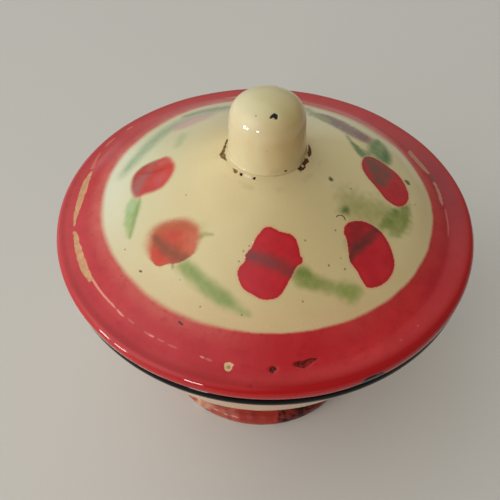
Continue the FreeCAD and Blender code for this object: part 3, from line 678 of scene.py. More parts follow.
# painted sheen: a warm light streak in front on the right; and a painted dark purplish reflection on the right brim
streak = 1 - smooth(stroke(X, Y, [(28.0, -61.5), (34.0, -57.5), (40.5, -51.5), (45.5, -45.0), (50.0, -38.0)], (2.0, 4.2, 5.0, 4.6, 2.6)) + 0.22 * ripple(P, 5, 14), 0.1, 1.3)
F["painted_sheen_streak"] = np.where(face, streak, 0)
# painted whitish sheen on the cream near the left border
F["pale"] = np.where(face, smooth(RR, 40, 55) * side(180, 30), 0)
# painted shadow in the crease at the knob's foot, on the front right
F["painted_crease_shadow"] = np.where(face, 0.62 * np.exp(-((lid.r0 - 13.50) / 0.16) ** 2) * side(-62, 34), 0)
F["painted_dark_reflection"] = np.where(face, side(12, 30) * smooth(RR, 60, 66), 0)
# the red ends low on the rolled edge, a little higher on the left
foot_of_red = np.interp(az, [-180, -165, -156, -150, -138, -126, -115, -108, -100, -92, -40, -10, 40, 90, 140, 180], [91.3, 91.3, 91.7, 92.35, 92.15, 91.85, 91.5, 91.15, 90.5, 89.8, 89.75, 90.2, 91.0, 91.5, 91.5, 91.3])
F["under"] = np.where(face, smooth(foot_of_red - lid.z0 - 0.12 * ripple(P, 6, 10), -0.4, 0.4) * smooth(lid.r0, 70, 73), 1.0)
# the step outside the ridge, where the red is worn through to cream
STRIPS = [
    [(-66.8, 12.6), (-66.4, 10.6), (-66.1, 8.1), (-65.9, 5.1), (-65.6, 2.2), (-65.2, -0.6), (-65.5, -3.2), (-65.2, -5.8), (-65.3, -8.2), (-65.4, -10.6), (-65.3, -13.0), (-65.5, -15.2), (-65.4, -17.4), (-65.3, -19.2), (-66.0, -18.4), (-66.9, -15.5), (-67.7, -12.0), (-68.1, -9.0), (-68.4, -6.0), (-68.6, -3.4), (-68.8, -0.1), (-69.0, 3.3), (-68.7, 6.7), (-67.9, 9.6)],
    [(-65.7, -19.7), (-64.2, -20.5), (-62.8, -22.1), (-61.8, -24.5), (-60.6, -26.7), (-59.5, -28.9), (-58.5, -31.0), (-57.3, -33.0), (-56.3, -35.0), (-54.9, -37.0), (-53.8, -38.9), (-52.7, -40.8), (-52.8, -41.4), (-53.7, -41.1), (-54.1, -41.9), (-55.4, -40.6), (-57.6, -37.9), (-59.3, -35.7), (-60.4, -33.3), (-61.6, -31.1), (-62.9, -28.4), (-63.8, -25.8), (-64.7, -23.2), (-65.6, -20.9)],
    [(57.1, 33.1), (58.6, 29.7), (60.1, 26.5), (61.6, 23.3), (62.9, 19.6), (63.2, 18.2), (61.7, 17.8), (60.0, 20.1), (58.3, 23.3), (56.7, 26.7), (55.2, 30.1)],
    [(63.7, 15.0), (64.5, 13.1), (65.1, 10.1), (65.3, 7.2), (65.4, 3.2), (65.2, 1.1), (64.0, 0.9), (63.5, 3.6), (63.5, 6.9), (63.3, 10.6), (62.7, 13.0)],
    turn([(-66.0, 8.2), (-65.6, 2.2), (-65.2, -5.8), (-66.0, -8.0), (-67.2, -3.4), (-67.4, 3.3)], -78),
]
# pale pink lines and dashes along the ridge
LINES = [
    ([(-53.0, -40.9), (-51.1, -43.3), (-49.8, -44.8), (-47.9, -46.8), (-46.1, -48.5), (-44.3, -50.1), (-43.6, -50.8)], (0.45, 0.42, 0.40, 0.36, 0.34, 0.32, 0.15)),
    ([(-43.0, -51.3), (-42.2, -52.1), (-41.1, -53.1), (-40.2, -53.7)], (0.2, 0.34, 0.34, 0.15)),
    ([(-31.8, -59.2), (-31.1, -59.5), (-30.1, -60.0)], (0.15, 0.34, 0.2)),
    ([(-15.9, -65.3), (-15.2, -65.5), (-14.6, -65.8)], (0.2, 0.32, 0.2)),
]
DASHES = [
    ([(-38.9, -54.4), (-37.9, -55.2), (-36.8, -55.8)], (0.15, 0.25, 0.15)), ([(-33.4, -58.3), (-32.1, -59.0), (-31.1, -59.5)], (0.15, 0.25, 0.25)),
    ([(-28.8, -60.5), (-27.9, -61.0), (-26.9, -61.4)], (0.15, 0.25, 0.15)), ([(-25.6, -62.1), (-24.4, -62.6), (-22.8, -63.2)], (0.15, 0.25, 0.15)),
    ([(-14.1, -65.9), (-13.2, -66.2), (-12.4, -66.4)], (0.2, 0.28, 0.15)), ([(65.3, -0.4), (65.2, -3.4), (65.1, -6.8), (64.7, -10.2), (64.0, -14.0)], (0.3, 0.35, 0.35, 0.3, 0.15)),
    ([(-67.2, 13.0), (-67.2, 18.0), (-66.6, 23.0)], (0.9, 0.6, 0.2)), ([(-65.5, 27.0), (-64.4, 29.8), (-63.0, 32.6)], (0.3, 0.6, 0.3)), ([(-59.0, 38.5), (-57.4, 40.6)], (0.5, 0.4)), ([(48.1, -50.7), (48.5, -50.3)], (0.25, 0.3)), ([(42.4, -55.8), (42.8, -55.6)], (0.25, 0.2)),
]
worn = union(*[outline(X, Y, s) for s in STRIPS])
F["wear"] = np.where(face, np.clip(worn + 0.22 + 0.10 * ripple(P, 3.0, 8), -3, 3), 3)
F["dash"] = np.where(face, np.clip(union(*[stroke(X, Y, p, q, True) for p, q in DASHES]), -3, 3), 3)
F["line"] = np.where(face, np.clip(union(*[stroke(X, Y, p, np.array(q) * 0.8, True) for p, q in LINES]), -3, 3), 3)


def chip_at(P, x, y, z, long, wide, angle, seed, ragged=0.14):
    """Distance from the edge of a chip in the glass, negative inside. angle turns its long side about the vertical."""
    a = math.radians(angle)
    dx, dy, dz = P[..., 0] - x, P[..., 1] - y, P[..., 2] - z
    u = (dx * math.cos(a) + dy * math.sin(a)) / long
    v = np.sqrt((dy * math.cos(a) - dx * math.sin(a)) ** 2 + dz * dz) / wide
    d = (np.sqrt(u * u + v * v) - 1) * min(long, wide)
    near = d < 3
    d[near] += ragged * min(long, wide) * ripple(P[near], 1.9 * max(min(long, wide), 0.5), seed)
    return d


# chips round the knob's foot, which run on over the edge of the knob
ROUND_KNOB = [
    [(-13.3, 6.0), (-13.6, 1.2), (-13.8, -2.4), (-13.0, -5.4), (-12.4, -7.0), (-14.6, -4.6), (-15.8, -2.7), (-14.5, -0.5), (-14.3, 3.0)],
    [(-10.5, -9.6), (-9.3, -10.6), (-8.7, -11.4), (-9.4, -12.0), (-10.1, -11.3)],
    [(14.0, 5.7), (14.6, 2.5), (15.0, 0.1), (14.7, -1.6), (13.9, -2.8), (13.4, -1.6), (13.8, 0.6), (13.9, 3.0)],
    [(12.5, -4.2), (13.2, -3.2), (14.0, -4.2), (13.6, -5.7), (12.7, -6.6), (12.9, -7.7), (12.0, -9.3), (11.0, -10.0), (10.3, -9.2), (10.8, -7.8), (11.9, -6.0)],
    turn([(14.0, 3.7), (14.6, 2.0), (15.2, 0.1), (14.7, -1.6), (13.9, -2.8), (13.4, -1.0), (13.7, 1.6)], 74),
]
LID_CHIPS = [
    # x, y, z, half length, half width, turn
    (30.6, -68.5, 91.3, 3.4, 1.0, 24), (34.2, -66.7, 91.9, 4.4, 1.6, 27), (-0.6, -73.0, 95.2, 0.40, 0.35, 0),
    (-40.0, 62.8, 92.8, 2.4, 0.9, 32), (20.0, 71.5, 93.4, 1.5, 0.8, -10), (-69.5, 26.5, 93.0, 1.2, 0.8, 110),
    (-7.6, -12.5, 118.7, 0.62, 0.48, -30), (-3.4, -14.1, 118.7, 0.48, 0.42, 0),
]
chip = union(*[outline(X, Y, q) + 0.10 * ripple(P, 1.5, 30 + i) for i, q in enumerate(ROUND_KNOB + [
    [(3.9, -67.9), (4.2, -67.3), (4.6, -66.7), (5.5, -66.8), (6.2, -67.4), (6.0, -68.1), (5.3, -68.3), (4.8, -68.9), (4.2, -68.6)],
    [(10.4, -65.9), (11.6, -65.2), (13.2, -64.9), (14.3, -64.4), (15.5, -63.9), (18.4, -63.7), (16.6, -64.7), (15.8, -65.2), (15.4, -65.8), (14.2, -66.6), (12.7, -66.9), (11.5, -66.5)],
])], *[chip_at(P, *c, seed=40 + i) for i, c in enumerate(LID_CHIPS)])
F["chip"] = np.where(lid.tag < 0.75, np.clip(chip, -3, 9), 9.0)
lid.push(-0.20 * smooth(-F["chip"], -0.22, 0.28) * smooth(np.hypot(X - 33.5, Y + 67.2), 7.5, 9.5))
# a shallow flake that went down to the cream under the red
F["flake"] = np.where(face, np.clip(outline(X, Y, [(-8.9, -67.1), (-8.6, -66.7), (-7.8, -66.6), (-6.9, -66.6), (-5.9, -67.2), (-6.5, -67.6), (-6.5, -68.2), (-7.0, -68.9), (-8.0, -69.1), (-8.7, -68.5)]), -3, 9), 9)
lid.push(-0.09 * smooth(-F["flake"], -0.2, 0.25) - 0.05 * smooth(-F["wear"], -0.3, 0.3))

# ---------------------------------------------------------------- lid: enamel
c = Coat("lid_enamel_painted")
under = c.span(c.rough_edge(c.field("under"), 1.2, 0.25, 2), 0.35, 0.65)
cream = c.cream(CREAM_A, CREAM_B)
# a warmer, slightly dirty ring round the knob's foot and faint smears
middle = c.dot(0.2, -0.2, 1.0)
ring = c.math("ABSOLUTE", c.math("SUBTRACT", middle, 17.4))
smear = c.math("MULTIPLY", c.span(ring, 0.2, 1.5, 1, 0), c.span(c.noise(6, 2, 0.5, 61), 0.48, 0.7, 0, 0.30))
cream = c.mix(smear, cream, rgb(166, 154, 112))
# painted shadow: a dark line in the crease at the knob's foot, on the front right only
painted_crease_shadow = c.math("MULTIPLY", c.field("painted_crease_shadow"), c.span(c.noise(3.0, 2, 0.6, 63), 0.3, 0.6, 0.45, 1.0))
cream = c.mix(painted_crease_shadow, cream, rgb(120, 98, 66))
# painted light on the cream, then a fog of red that strayed in from the border
grain = c.noise(0.34, 2, 0.7, 23)
# painted cool sheen on the left, and painted paler light behind the knob on the right
cream = c.mix(c.math("MULTIPLY", c.field("painted_sheen_and_light"), 0.66), cream, rgb(210, 212, 178))
# painted light right of the knob, where its shadow falls
cream = c.mix(c.math("MULTIPLY", c.field("bright"), 0.85), cream, rgb(240, 222, 166))
# painted whitish sheen near the left border
cream = c.mix(c.math("MULTIPLY", c.field("pale"), 0.6), cream, rgb(228, 230, 206))
# the fog of red is strongest in front, where it is also painted red light reflected up from below
red_fog_and_bounce = c.math("MULTIPLY", c.field("red_fog_and_bounce"), c.span(grain, 0.2, 0.8, 0.5, 1.4))
col = c.mix(red_fog_and_bounce, cream, rgb(198, 118, 80))
# green
ga, gc = c.wash("green")
ga = c.math("MULTIPLY", ga, c.span(grain, 0.2, 0.75, 0.84, 1.12))
col = c.mix(ga, col, gc)
# border
soft = c.field("edgesoft")
e = c.math("ADD", c.field("edge"), c.math("MULTIPLY", c.math("SUBTRACT", grain, 0.5), c.math("MULTIPLY", soft, 0.55)))
e = c.math("DIVIDE", c.rough_edge(e, 1.5, 0.16, 6), soft)
border = c.math("MULTIPLY", c.span(e, -1.0, 1.15), c.math("SUBTRACT", 1, under))
blot = c.span(c.noise(13, 3, 0.55, 41), 0.32, 0.68)
red = c.mix(blot, RED_A, RED_B)
# thin red at the soft edges, and painted light: a lighter red on the left brim
red = c.mix(c.math("MULTIPLY", c.field("thin_red_and_painted_light"), c.span(c.noise(5, 2, 0.5, 43), 0.25, 0.75, 0.6, 1.0)), red, rgb(206, 96, 82))
# painted sheen: a warm light streak in front on the right
red = c.mix(c.math("MULTIPLY", c.field("painted_sheen_streak"), c.span(grain, 0.2, 0.8, 0.35, 0.75)), red, rgb(206, 46, 46))
# painted dark purplish reflection on the right brim
red = c.mix(c.math("MULTIPLY", c.field("painted_dark_reflection"), 0.56), red, rgb(114, 35, 47))
# deep red on the rolled edge, kept mostly off the lit left: painted shade on the front and right
red = c.mix(c.field("lip"), red, RED_LIP)
mottle = c.span(c.noise(3.4, 3, 0.65, 49), 0.50, 0.72, 0, 0.38)
red = c.mix(mottle, red, rgb(160, 24, 30))
freck = c.span(c.noise(0.9, 3, 0.65, 47), 0.60, 0.74, 0, 0.32)
red = c.mix(freck, red, rgb(120, 16, 24))
col = c.mix(border, col, red)
# flower sprayed orange
ss = c.field("spraysoft")
s = c.math("ADD", c.field("spray"), c.math("MULTIPLY", c.math("SUBTRACT", grain, 0.5), c.math("MULTIPLY", ss, 1.0)))
s = c.math("DIVIDE", c.rough_edge(c.rough_edge(s, 2.2, 0.22, 8), 0.8, 0.55, 18), ss)
sp = c.span(s, -1.15, 1.0, 1, 0)
orange = c.mix(c.span(c.noise(5, 2, 0.5, 51), 0.35, 0.65), rgb(198, 66, 30), rgb(186, 58, 28))
orange = c.mix(c.span(c.math("ADD", c.field("spray"), c.math("MULTIPLY", ss, 0.6)), -3.4, -0.6, 0, 0.75), orange, rgb(190, 84, 40))
orange = c.mix(c.span(grain, 0.42, 0.72, 0, 0.38), orange, rgb(160, 56, 34))
col = c.mix(c.math("MULTIPLY", sp, 0.96), col, orange)
# flowers with half soft edges
m = c.math("ADD", c.field("mid"), c.math("MULTIPLY", c.math("SUBTRACT", grain, 0.5), 0.8))
md = c.span(c.rough_edge(m, 1.8, 0.25, 12), -1.25, 0.95, 1, 0)
soft_red = c.mix(c.span(c.noise(6, 2, 0.5, 53), 0.35, 0.65), rgb(198, 34, 28), rgb(186, 30, 28))
soft_red = c.mix(c.span(c.field("mid"), -2.6, -0.3, 0, 0.45), soft_red, rgb(198, 56, 44))
col = c.mix(c.math("MULTIPLY", md, 0.97), col, soft_red)
# crisp flowers
k = c.span(c.rough_edge(c.rough_edge(c.field("crisp"), 0.8, 0.28, 14), 2.4, 0.12, 15), -0.16, 0.18, 1, 0)
crimson = c.mix(c.span(c.noise(7, 2, 0.5, 55), 0.35, 0.65), CRIMSON_A, CRIMSON_B)
crimson = c.mix(c.span(c.field("crisp"), -1.6, -0.1, 0, 0.5), crimson, rgb(172, 20, 32))
col = c.mix(c.span(c.field("crisp"), 0.1, 1.0, 0.42, 0), col, rgb(222, 150, 112))
col = c.mix(k, col, crimson)
# brown where the strokes cross the red
on_red = c.math("MAXIMUM", c.math("MAXIMUM", k, md), sp)
ba, bc = c.wash("brown")
ba = c.math("MULTIPLY", c.math("MULTIPLY", ba, on_red), c.span(grain, 0.2, 0.75, 0.86, 1.1))
col = c.mix(ba, col, bc)
# spots and ticks of green and of brown-black, small pale flakes, and painted glints as pale dots at the front left of
# the knob's foot
upper = c.math("SUBTRACT", 1, c.span(c.field("under"), 0.2, 0.6))
spots = c.rough_edge(c.least([c.dot(x, y, r) for x, y, r in [(21.4, -8.4, 1.0), (50.9, 5.8, 1.2), (51.2, 5.0, 0.95), (63.7, 16.8, 0.8)]]), 0.8, 0.30, 30)
col = c.mix(c.math("MULTIPLY", c.span(spots, 0.45, 1.25, 0.9, 0), upper), col, rgb(76, 76, 40))
ticks = c.rough_edge(c.least([c.dash(*t) for t in [
    (-37.5, -39.7, -37.0, -40.0, 0.36), (23.1, -21.6, 23.6, -20.9, 0.20), (23.6, -20.9, 24.9, -20.5, 0.20), (24.9, -20.5, 25.6, -20.9, 0.24), (25.6, -20.9, 26.0, -21.7, 0.26), (-23.0, -55.9, -22.1, -56.6, 0.40)]]), 0.6, 0.35, 130)
col = c.mix(c.math("MULTIPLY", c.span(ticks, 0.5, 1.2, 0.85, 0), upper), col, rgb(72, 32, 24))
specks = c.rough_edge(c.least([c.dot(x, y, r) for x, y, r in [
    (28.4, -9.2, 0.48), (22.8, -26.1, 0.45), (13.2, -31.1, 0.42), (20.7, -37.3, 0.52), (25.7, -37.5, 0.50), (13.0, -48.8, 0.42), (-4.7, -53.8, 0.42), (24.5, -34.4, 0.30),
    (-24.2, -43.6, 0.28), (-17.2, -51.7, 0.38), (-25.5, -15.7, 0.38), (-43.9, -31.5, 0.42), (52.3, -5.2, 0.42), (-3.8, -34.3, 0.36), (-5.4, -35.8, 0.44), (-6.6, -38.8, 0.40), (1.3, -58.9, 0.42), (-43.5, -40.7, 0.45), (-59.4, -21.9, 0.55)]]), 0.5, 0.45, 230)
col = c.mix(c.math("MULTIPLY", c.span(specks, 0.15, 1.05, 0.78, 0), upper), col, rgb(92, 66, 40))
# pale flakes, and painted glints at the front left of the knob's foot
pale = c.rough_edge(c.least([c.dot(x, y, r) for x, y, r in [(-2.7, -33.2, 0.30), (-4.9, -37.6, 0.28), (-6.2, -13.0, 0.6), (-5.3, -13.5, 0.55), (-4.5, -13.9, 0.35), (11.8, -7.3, 0.55)]]), 0.6, 0.35, 330)
pale = c.math("MULTIPLY", c.span(pale, 0.4, 1.2, 0.85, 0), upper)
# the step beside the ridge, worn to cream
worn = c.span(c.rough_edge(c.field("wear"), 0.9, 0.16, 34), -0.16, 0.14, 1, 0)
where = c.new("ShaderNodeSeparateXYZ")
c.put(where.inputs[0], c.p)
tan = c.mix(c.span(c.noise(2.2, 2, 0.6, 69), 0.3, 0.7), rgb(208, 160, 112), rgb(192, 136, 92))
# painted shade: the worn strips darker and pinker on the right
tan = c.mix(c.span(where.outputs[0], -20, 20), tan, rgb(188, 126, 98))
col = c.mix(c.math("MULTIPLY", worn, 0.95), col, tan)
# pale pink dashes and lines along the ridge
dash = c.span(c.rough_edge(c.field("dash"), 0.8, 0.16, 35), -0.2, 0.2, 0.62, 0)
col = c.mix(dash, col, rgb(212, 112, 98))
line = c.span(c.rough_edge(c.field("line"), 0.8, 0.12, 39), -0.16, 0.18, 0.9, 0)
col = c.mix(line, col, rgb(228, 144, 122))
# underside: plain cream with a cooler cast
col = c.mix(under, col, c.mix(c.span(c.field("under"), 0.9, 1.0), rgb(216, 168, 138), c.cream(rgb(224, 212, 174), rgb(214, 200, 158))))
fl = c.span(c.rough_edge(c.field("flake"), 0.7, 0.2, 36), -0.14, 0.14, 1, 0)
heart = c.span(c.rough_edge(c.dot(-7.5, -67.9, 0.8), 0.5, 0.3, 37), 0.3, 1.1, 0.75, 0)
col = c.mix(fl, col, c.mix(heart, rgb(220, 180, 132), rgb(140, 104, 66)))
ph = c.math("MAXIMUM", c.pinholes(7.5, 0.30, 0.28), c.math("MULTIPLY", c.pinholes(3.1, 0.20, 0.14, 9.0), 0.65))
col = c.mix(c.math("MULTIPLY", ph, 0.65), col, rgb(104, 78, 50))
ch = c.rough_edge(c.field("chip"), 0.7, 0.13, 38)
col = c.mix(c.span(ch, 0.02, 0.36, 0.24, 0), col, c.mix(c.span(middle, 22, 30), rgb(180, 160, 130), rgb(128, 18, 24)))
bare = c.span(ch, -0.10, 0.10, 1, 0)
metal = c.mix(c.span(c.noise(1.4, 3, 0.6, 77), 0.42, 0.62), IRON, RUST)
worst = c.span(where.outputs[0], -9.5, -8.5, 1, 0)
foot_rust = c.mix(worst, rgb(104, 62, 34), c.mix(c.span(c.noise(1.8, 3, 0.6, 75), 0.35, 0.65), rgb(152, 126, 78), rgb(112, 84, 46)))
metal = c.mix(c.span(middle, 17, 20, 1, 0), metal, foot_rust)
metal = c.mix(c.span(c.least([c.dot(-7.6, -12.5, 1.0), c.dot(-3.4, -14.1, 0.9)]), 0.8, 1.2, 1, 0), metal, rgb(20, 12, 9))
# a glossy near-black patch on the front right of the rolled edge
dark_lip_patch = c.span(c.dot(33.5, -67.2, 8.0), 0.8, 1.1, 1, 0)
metal = c.mix(dark_lip_patch, metal, rgb(9, 5, 6))
metal = c.mix(c.span(c.dot(14.0, -65.3, 5.0), 0.8, 1.1, 1, 0), metal, c.mix(c.span(c.noise(1.1, 3, 0.6, 73), 0.4, 0.62), rgb(164, 52, 50), rgb(104, 34, 34)))
col = c.mix(bare, col, metal)
col = c.mix(pale, col, rgb(238, 224, 192))
rough = c.fade(c.math("MULTIPLY", bare, c.span(dark_lip_patch, 0, 1, 1, 0.1)), c.fade(ph, c.fade(c.span(middle, 69.5, 72.5), c.gloss(0.09, 0.17), 0.055), 0.4), 0.50)
heights = [
    c.peel(0.016),
    c.math("MULTIPLY", bare, -0.06), c.math("MULTIPLY", ph, -0.03), c.math("MULTIPLY", k, 0.010), c.math("MULTIPLY", border, 0.010),
    c.math("MULTIPLY", c.math("MULTIPLY", bare, c.noise(0.5, 3, 0.7, 79)), 0.08),
]
lid_mat = c.finish(col, rough, heights, 1.45, c.math("MULTIPLY", bare, c.span(dark_lip_patch, 0, 1, 1, 0.7)))
lid.build("lid_shell_enamelled", lid_mat, "lid", "lid_shell")

# ---------------------------------------------------------------- knob
outer = path(
    arc(0, 122.45, 17.6, 90, 60.2),
    arc(5.4, 131.8, 6.8, 60, 0),
    [(12.2, 131.8), (12.95, 120.35)],
    arc(14.2, 120.35, 1.25, 180, 228),
    arc(13.29, 119.36, 0.10, 40, -60, 10),
)
outer = dense(outer)
w = smooth(outer[:, 1], 121.6, 124.0)[:, None]
outer = soften(outer, 0.18) * (1 - w) + soften(outer, 1.5) * w
outer[0] = (0, outer[0, 1])
inner = dense(path(
    [(11.95, 118.82), (11.9, 120.35), (11.2, 131.8)],
    arc(5.4, 131.8, 5.8, 0, 60),
    arc(0, 122.45, 16.6, 60.2, 90),
))
inner[-1] = (0, inner[-1, 1])
foot_face = dense(path([outer[-1], (13.2, 118.82), (11.95, 118.82)]))[1:-1]
run = np.vstack([outer, foot_face, inner])
tag = np.r_[np.zeros(len(outer)), np.full(len(foot_face), 0.6), np.ones(len(inner))]
gap = np.where(tag < 0.3, 0.24, np.where(tag < 0.8, 0.5, 0.9))
knob = Turned(*thin_out(run, tag, gap), 384, poles=True)
P = knob.at()
up = smooth(knob.z0, 119.5, 139)
knob.lean[0] = -0.30 * up
knob.lean[1] = 0.05 * up
knob.r += smooth(knob.z0, 121, 132) * knob.r0 / 12.5 * (0.07 * np.sin(2 * knob.A + 0.7) + 0.04 * np.sin(3 * knob.A))
knob.push(np.where(knob.tag < 0.3, 0.035 * ripple(P, 9, 12), 0))
# thick glass ran down and pooled round the foot
knob.push(np.where(knob.tag < 0.3, 0.10 * smooth(-knob.z0, -122.6, -120.4) * smooth(knob.z0, 119.5, 119.9) * (0.6 + 0.5 * ripple(P, 8, 13)), 0))
high = np.where(knob.z0 > 135, 0, 20)
low = np.where(knob.z0 < 121.2, 0, 20)
chip = union(
    outline(P[..., 0], P[..., 1], [(0.6, -8.8), (0.9, -8.1), (1.75, -7.45), (2.6, -7.15), (3.35, -7.45), (3.3, -8.35), (2.85, -8.85), (2.1, -8.6)]) + 0.10 * ripple(P, 1.2, 90) + high,
    *[outline(P[..., 0], P[..., 1], q) + 0.10 * ripple(P, 1.4, 91 + i) + low for i, q in enumerate(ROUND_KNOB)],
    *[chip_at(P, *q, seed=99 + i) for i, q in enumerate([(-3.2, -8.0, 137.8, 0.22, 0.2, 0), (6.45, -11.3, 119.9, 0.5, 0.3, 30)])],
)
knob.fields["chip"] = np.where(knob.tag < 0.3, np.clip(chip, -3, 9), 9.0)
knob.push(-0.18 * smooth(-knob.fields["chip"], -0.16, 0.22))
knob.fields["inside"] = knob.tag

c = Coat("knob_enamel_cream")
sep = c.new("ShaderNodeSeparateXYZ")
c.put(sep.inputs[0], c.p)
# painted shade: the knob's cream lighter and cooler on the left, browner and darker on the right
col = c.mix(c.span(sep.outputs[0], -11, 12), c.cream(rgb(216, 203, 166), rgb(210, 195, 152)), rgb(208, 182, 124))
# the glass is thin and browner on the shoulder, and dirty in the corner at the foot
thin = c.math("MULTIPLY", c.span(sep.outputs[2], 122.0, 131.0), c.span(sep.outputs[2], 134.5, 138.5, 1, 0))
col = c.mix(c.math("MULTIPLY", thin, c.span(c.noise(7, 2, 0.5, 7), 0.35, 0.7, 0.05, 0.16)), col, rgb(200, 158, 118))
# painted reflection: a greener tint on the top of the knob
col = c.mix(c.span(sep.outputs[2], 136.5, 138.6, 0, 0.35), col, rgb(206, 200, 150))
grime = c.math("MULTIPLY", c.span(sep.outputs[2], 118.9, 120.0, 1, 0), c.span(c.noise(2.4, 3, 0.6, 9), 0.45, 0.7, 0, 0.42))
col = c.mix(grime, col, rgb(160, 140, 100))
ph = c.math("MAXIMUM", c.pinholes(5.5, 0.22, 0.20), c.math("MULTIPLY", c.pinholes(2.6, 0.14, 0.11, 4.0), 0.6))
col = c.mix(c.math("MULTIPLY", ph, 0.65), col, rgb(110, 88, 58))
ch = c.rough_edge(c.field("chip"), 0.5, 0.10, 38)
col = c.mix(c.span(ch, 0.02, 0.22, 0.2, 0), col, rgb(176, 160, 126))
bare = c.span(ch, -0.06, 0.06, 1, 0)
low = c.span(sep.outputs[2], 126, 130, 1, 0)
worst = c.span(sep.outputs[0], -9.5, -8.5, 1, 0)
metal = c.mix(worst, rgb(104, 62, 34), c.mix(c.span(c.noise(1.8, 3, 0.6, 75), 0.35, 0.65), rgb(152, 126, 78), rgb(112, 84, 46)))
metal = c.mix(low, rgb(14, 13, 12), metal)
col = c.mix(bare, col, metal)
rough = c.fade(bare, c.fade(ph, c.gloss(0.06, 0.11), 0.4), c.fade(low, 0.16, 0.5))
knob_mat = c.finish(col, rough, [c.peel(0.008), c.math("MULTIPLY", bare, -0.05), c.math("MULTIPLY", ph, -0.03), c.math("MULTIPLY", c.math("MULTIPLY", bare, c.noise(0.4, 3, 0.7, 79)), 0.10)], metal=c.math("MULTIPLY", bare, low))
knob.build("lid_knob_enamelled", knob_mat, "lid", "lid_knob")

# ---------------------------------------------------------------- collar under the lid
ring_in = dense(path(
    [(71.4, 94.2), (68.1, 94.2)],
    arc(68.1, 92.4, 1.8, 90, 180),
    [(66.3, 92.4), (66.3, 82.0)],
))
run, tag = sheet(ring_in[::-1], 1.0, True)
collar = Turned(*thin_out(run, tag, np.where(np.abs(tag - 0.5) < 0.25, 0.2, 0.7)), 432)
P = collar.at()
low = smooth(-collar.z0, -92, -86)
collar.r += low * (0.10 * np.sin(2 * collar.A + 1.1) + 0.06 * np.sin(5 * collar.A))
collar.z += low * 0.08 * np.sin(4 * collar.A + 0.5)
collar.fields["chip"] = np.clip(np.minimum.reduce([chip_at(P, 66.8 * math.cos(t), 66.8 * math.sin(t), 82.0, g, 0.7, math.degrees(t) + 90, 150 + i) for i, (t, g) in enumerate([(0.4, 3.0), (1.9, 1.6), (2.6, 4.0), (4.1, 2.2), (5.3, 1.4)])]), -3, 9)
collar.push(-0.12 * smooth(-collar.fields["chip"], -0.2, 0.25))
c = Coat("collar_enamel_cream")
col = c.cream(rgb(224, 212, 174), rgb(214, 200, 158))
sep = c.new("ShaderNodeSeparateXYZ")
c.put(sep.inputs[0], c.p)
stain = c.math("MULTIPLY", c.span(sep.outputs[2], 82.2, 84.2, 1, 0), c.span(c.noise(5, 3, 0.6, 9), 0.45, 0.7, 0.05, 0.6))
col = c.mix(stain, col, rgb(150, 124, 84))
ph = c.pinholes(5.0, 0.3, 0.3)
col = c.mix(c.math("MULTIPLY", ph, 0.8), col, rgb(80, 60, 42))
ch = c.rough_edge(c.field("chip"), 0.6, 0.18, 38)
bare = c.span(ch, -0.06, 0.06, 1, 0)
col = c.mix(bare, col, c.mix(c.span(c.noise(1.4, 3, 0.6, 77), 0.42, 0.62), IRON, RUST))
rough = c.fade(bare, c.gloss(0.10, 0.2), 0.5)
collar_mat = c.finish(col, rough, [c.peel(0.016), c.math("MULTIPLY", bare, -0.06), c.math("MULTIPLY", ph, -0.03)], metal=bare)
collar.build("lid_collar_enamelled", collar_mat, "lid", "lid_collar")

# ---------------------------------------------------------------- bowl
BOWL_T = 1.1
inside = path(
    [(0, 29.6), (26, 29.6)],
    arc(26, 67.5, 37.9, -90, -22),
    arc(-45.95, 96.57, 115.5, -22, -5),
    arc(71.80, 86.265, 2.7, 175, -115),
)
inside = dense(inside)
inside = soften(inside, 0.16)
back = inside - left(inside) * BOWL_T
inside[0, 0] = back[0, 0] = 0
half_round.ahead = inside[-1] - inside[-4]
end = half_round(inside[-1], back[-1])
run = np.vstack([inside, end, back[::-1]])
tag = np.r_[np.zeros(len(inside)), np.full(len(end), 0.5), np.ones(len(back))]
r, z = run[:, 0], run[:, 1]
gap = np.where(tag > 0.75, 0.85, 1.0)
gap = np.where(z > 82.5, 0.35, gap)
gap = np.where((tag > 0.75) & (r > 70.3), 0.7, gap)
gap = np.where(r < 8, 1.4, gap)
bowl = Turned(*thin_out(run, tag, gap), 480, poles=True)
P = bowl.at()
big = smooth(bowl.r0, 28, 66)
bowl.r += big * (0.14 * np.sin(2 * bowl.A + 0.3) + 0.08 * np.sin(3 * bowl.A + 1.2) + 0.05 * ripple(P, 40, 21) * smooth(-bowl.z0, -84, -70))
bowl.z += smooth(bowl.r0, 30, 70) * 0.06 * np.sin(3 * bowl.A + 0.9)
bowl.z += 0.3 * smooth(bowl.z0, 70, 84)
bowl.lean[0] = 0.6 * smooth(bowl.z0, 58, 84)
Bf = bowl.fields
# black on the rolled rim, to just below it on both sides
limit = np.where((bowl.tag < 0.5) & (bowl.r0 < 70.4), 85.2, 82.5) + 0.22 * np.sin(4 * bowl.A + 0.3) + 0.14 * ripple(P, 7, 22)
Bf["black"] = np.clip(bowl.z0 - limit, -6, 6)
Bf["out"] = (bowl.tag > 0.5) * 1.0
BOWL_CHIPS = [(74.3 * math.cos(math.radians(t)), 74.3 * math.sin(math.radians(t)), zz, g, w, t + 90) for t, zz, g, w in [
    (-20, 86.4, 1.4, 0.5), (35, 86.9, 2.4, 0.8), (84, 86.2, 1.2, 0.5), (120, 87.0, 1.8, 0.6), (171, 86.5, 2.0, 0.6), (-152, 86.1, 1.0, 0.4)]]
BOWL_CHIPS += [(58.6 * math.cos(math.radians(t)), 58.6 * math.sin(math.radians(t)), 46.5, g, w, t + 90) for t, g, w in [(-31, 1.2, 0.8), (62, 0.9, 0.6), (148, 1.6, 0.9)]]
chip = np.full(bowl.r0.shape, 9.0)
for i, q in enumerate(BOWL_CHIPS):
    chip = np.minimum(chip, chip_at(P, *q, seed=190 + i))
Bf["chip"] = np.clip(chip, -3, 9)
bowl.push(-0.16 * smooth(-Bf["chip"], -0.2, 0.25))

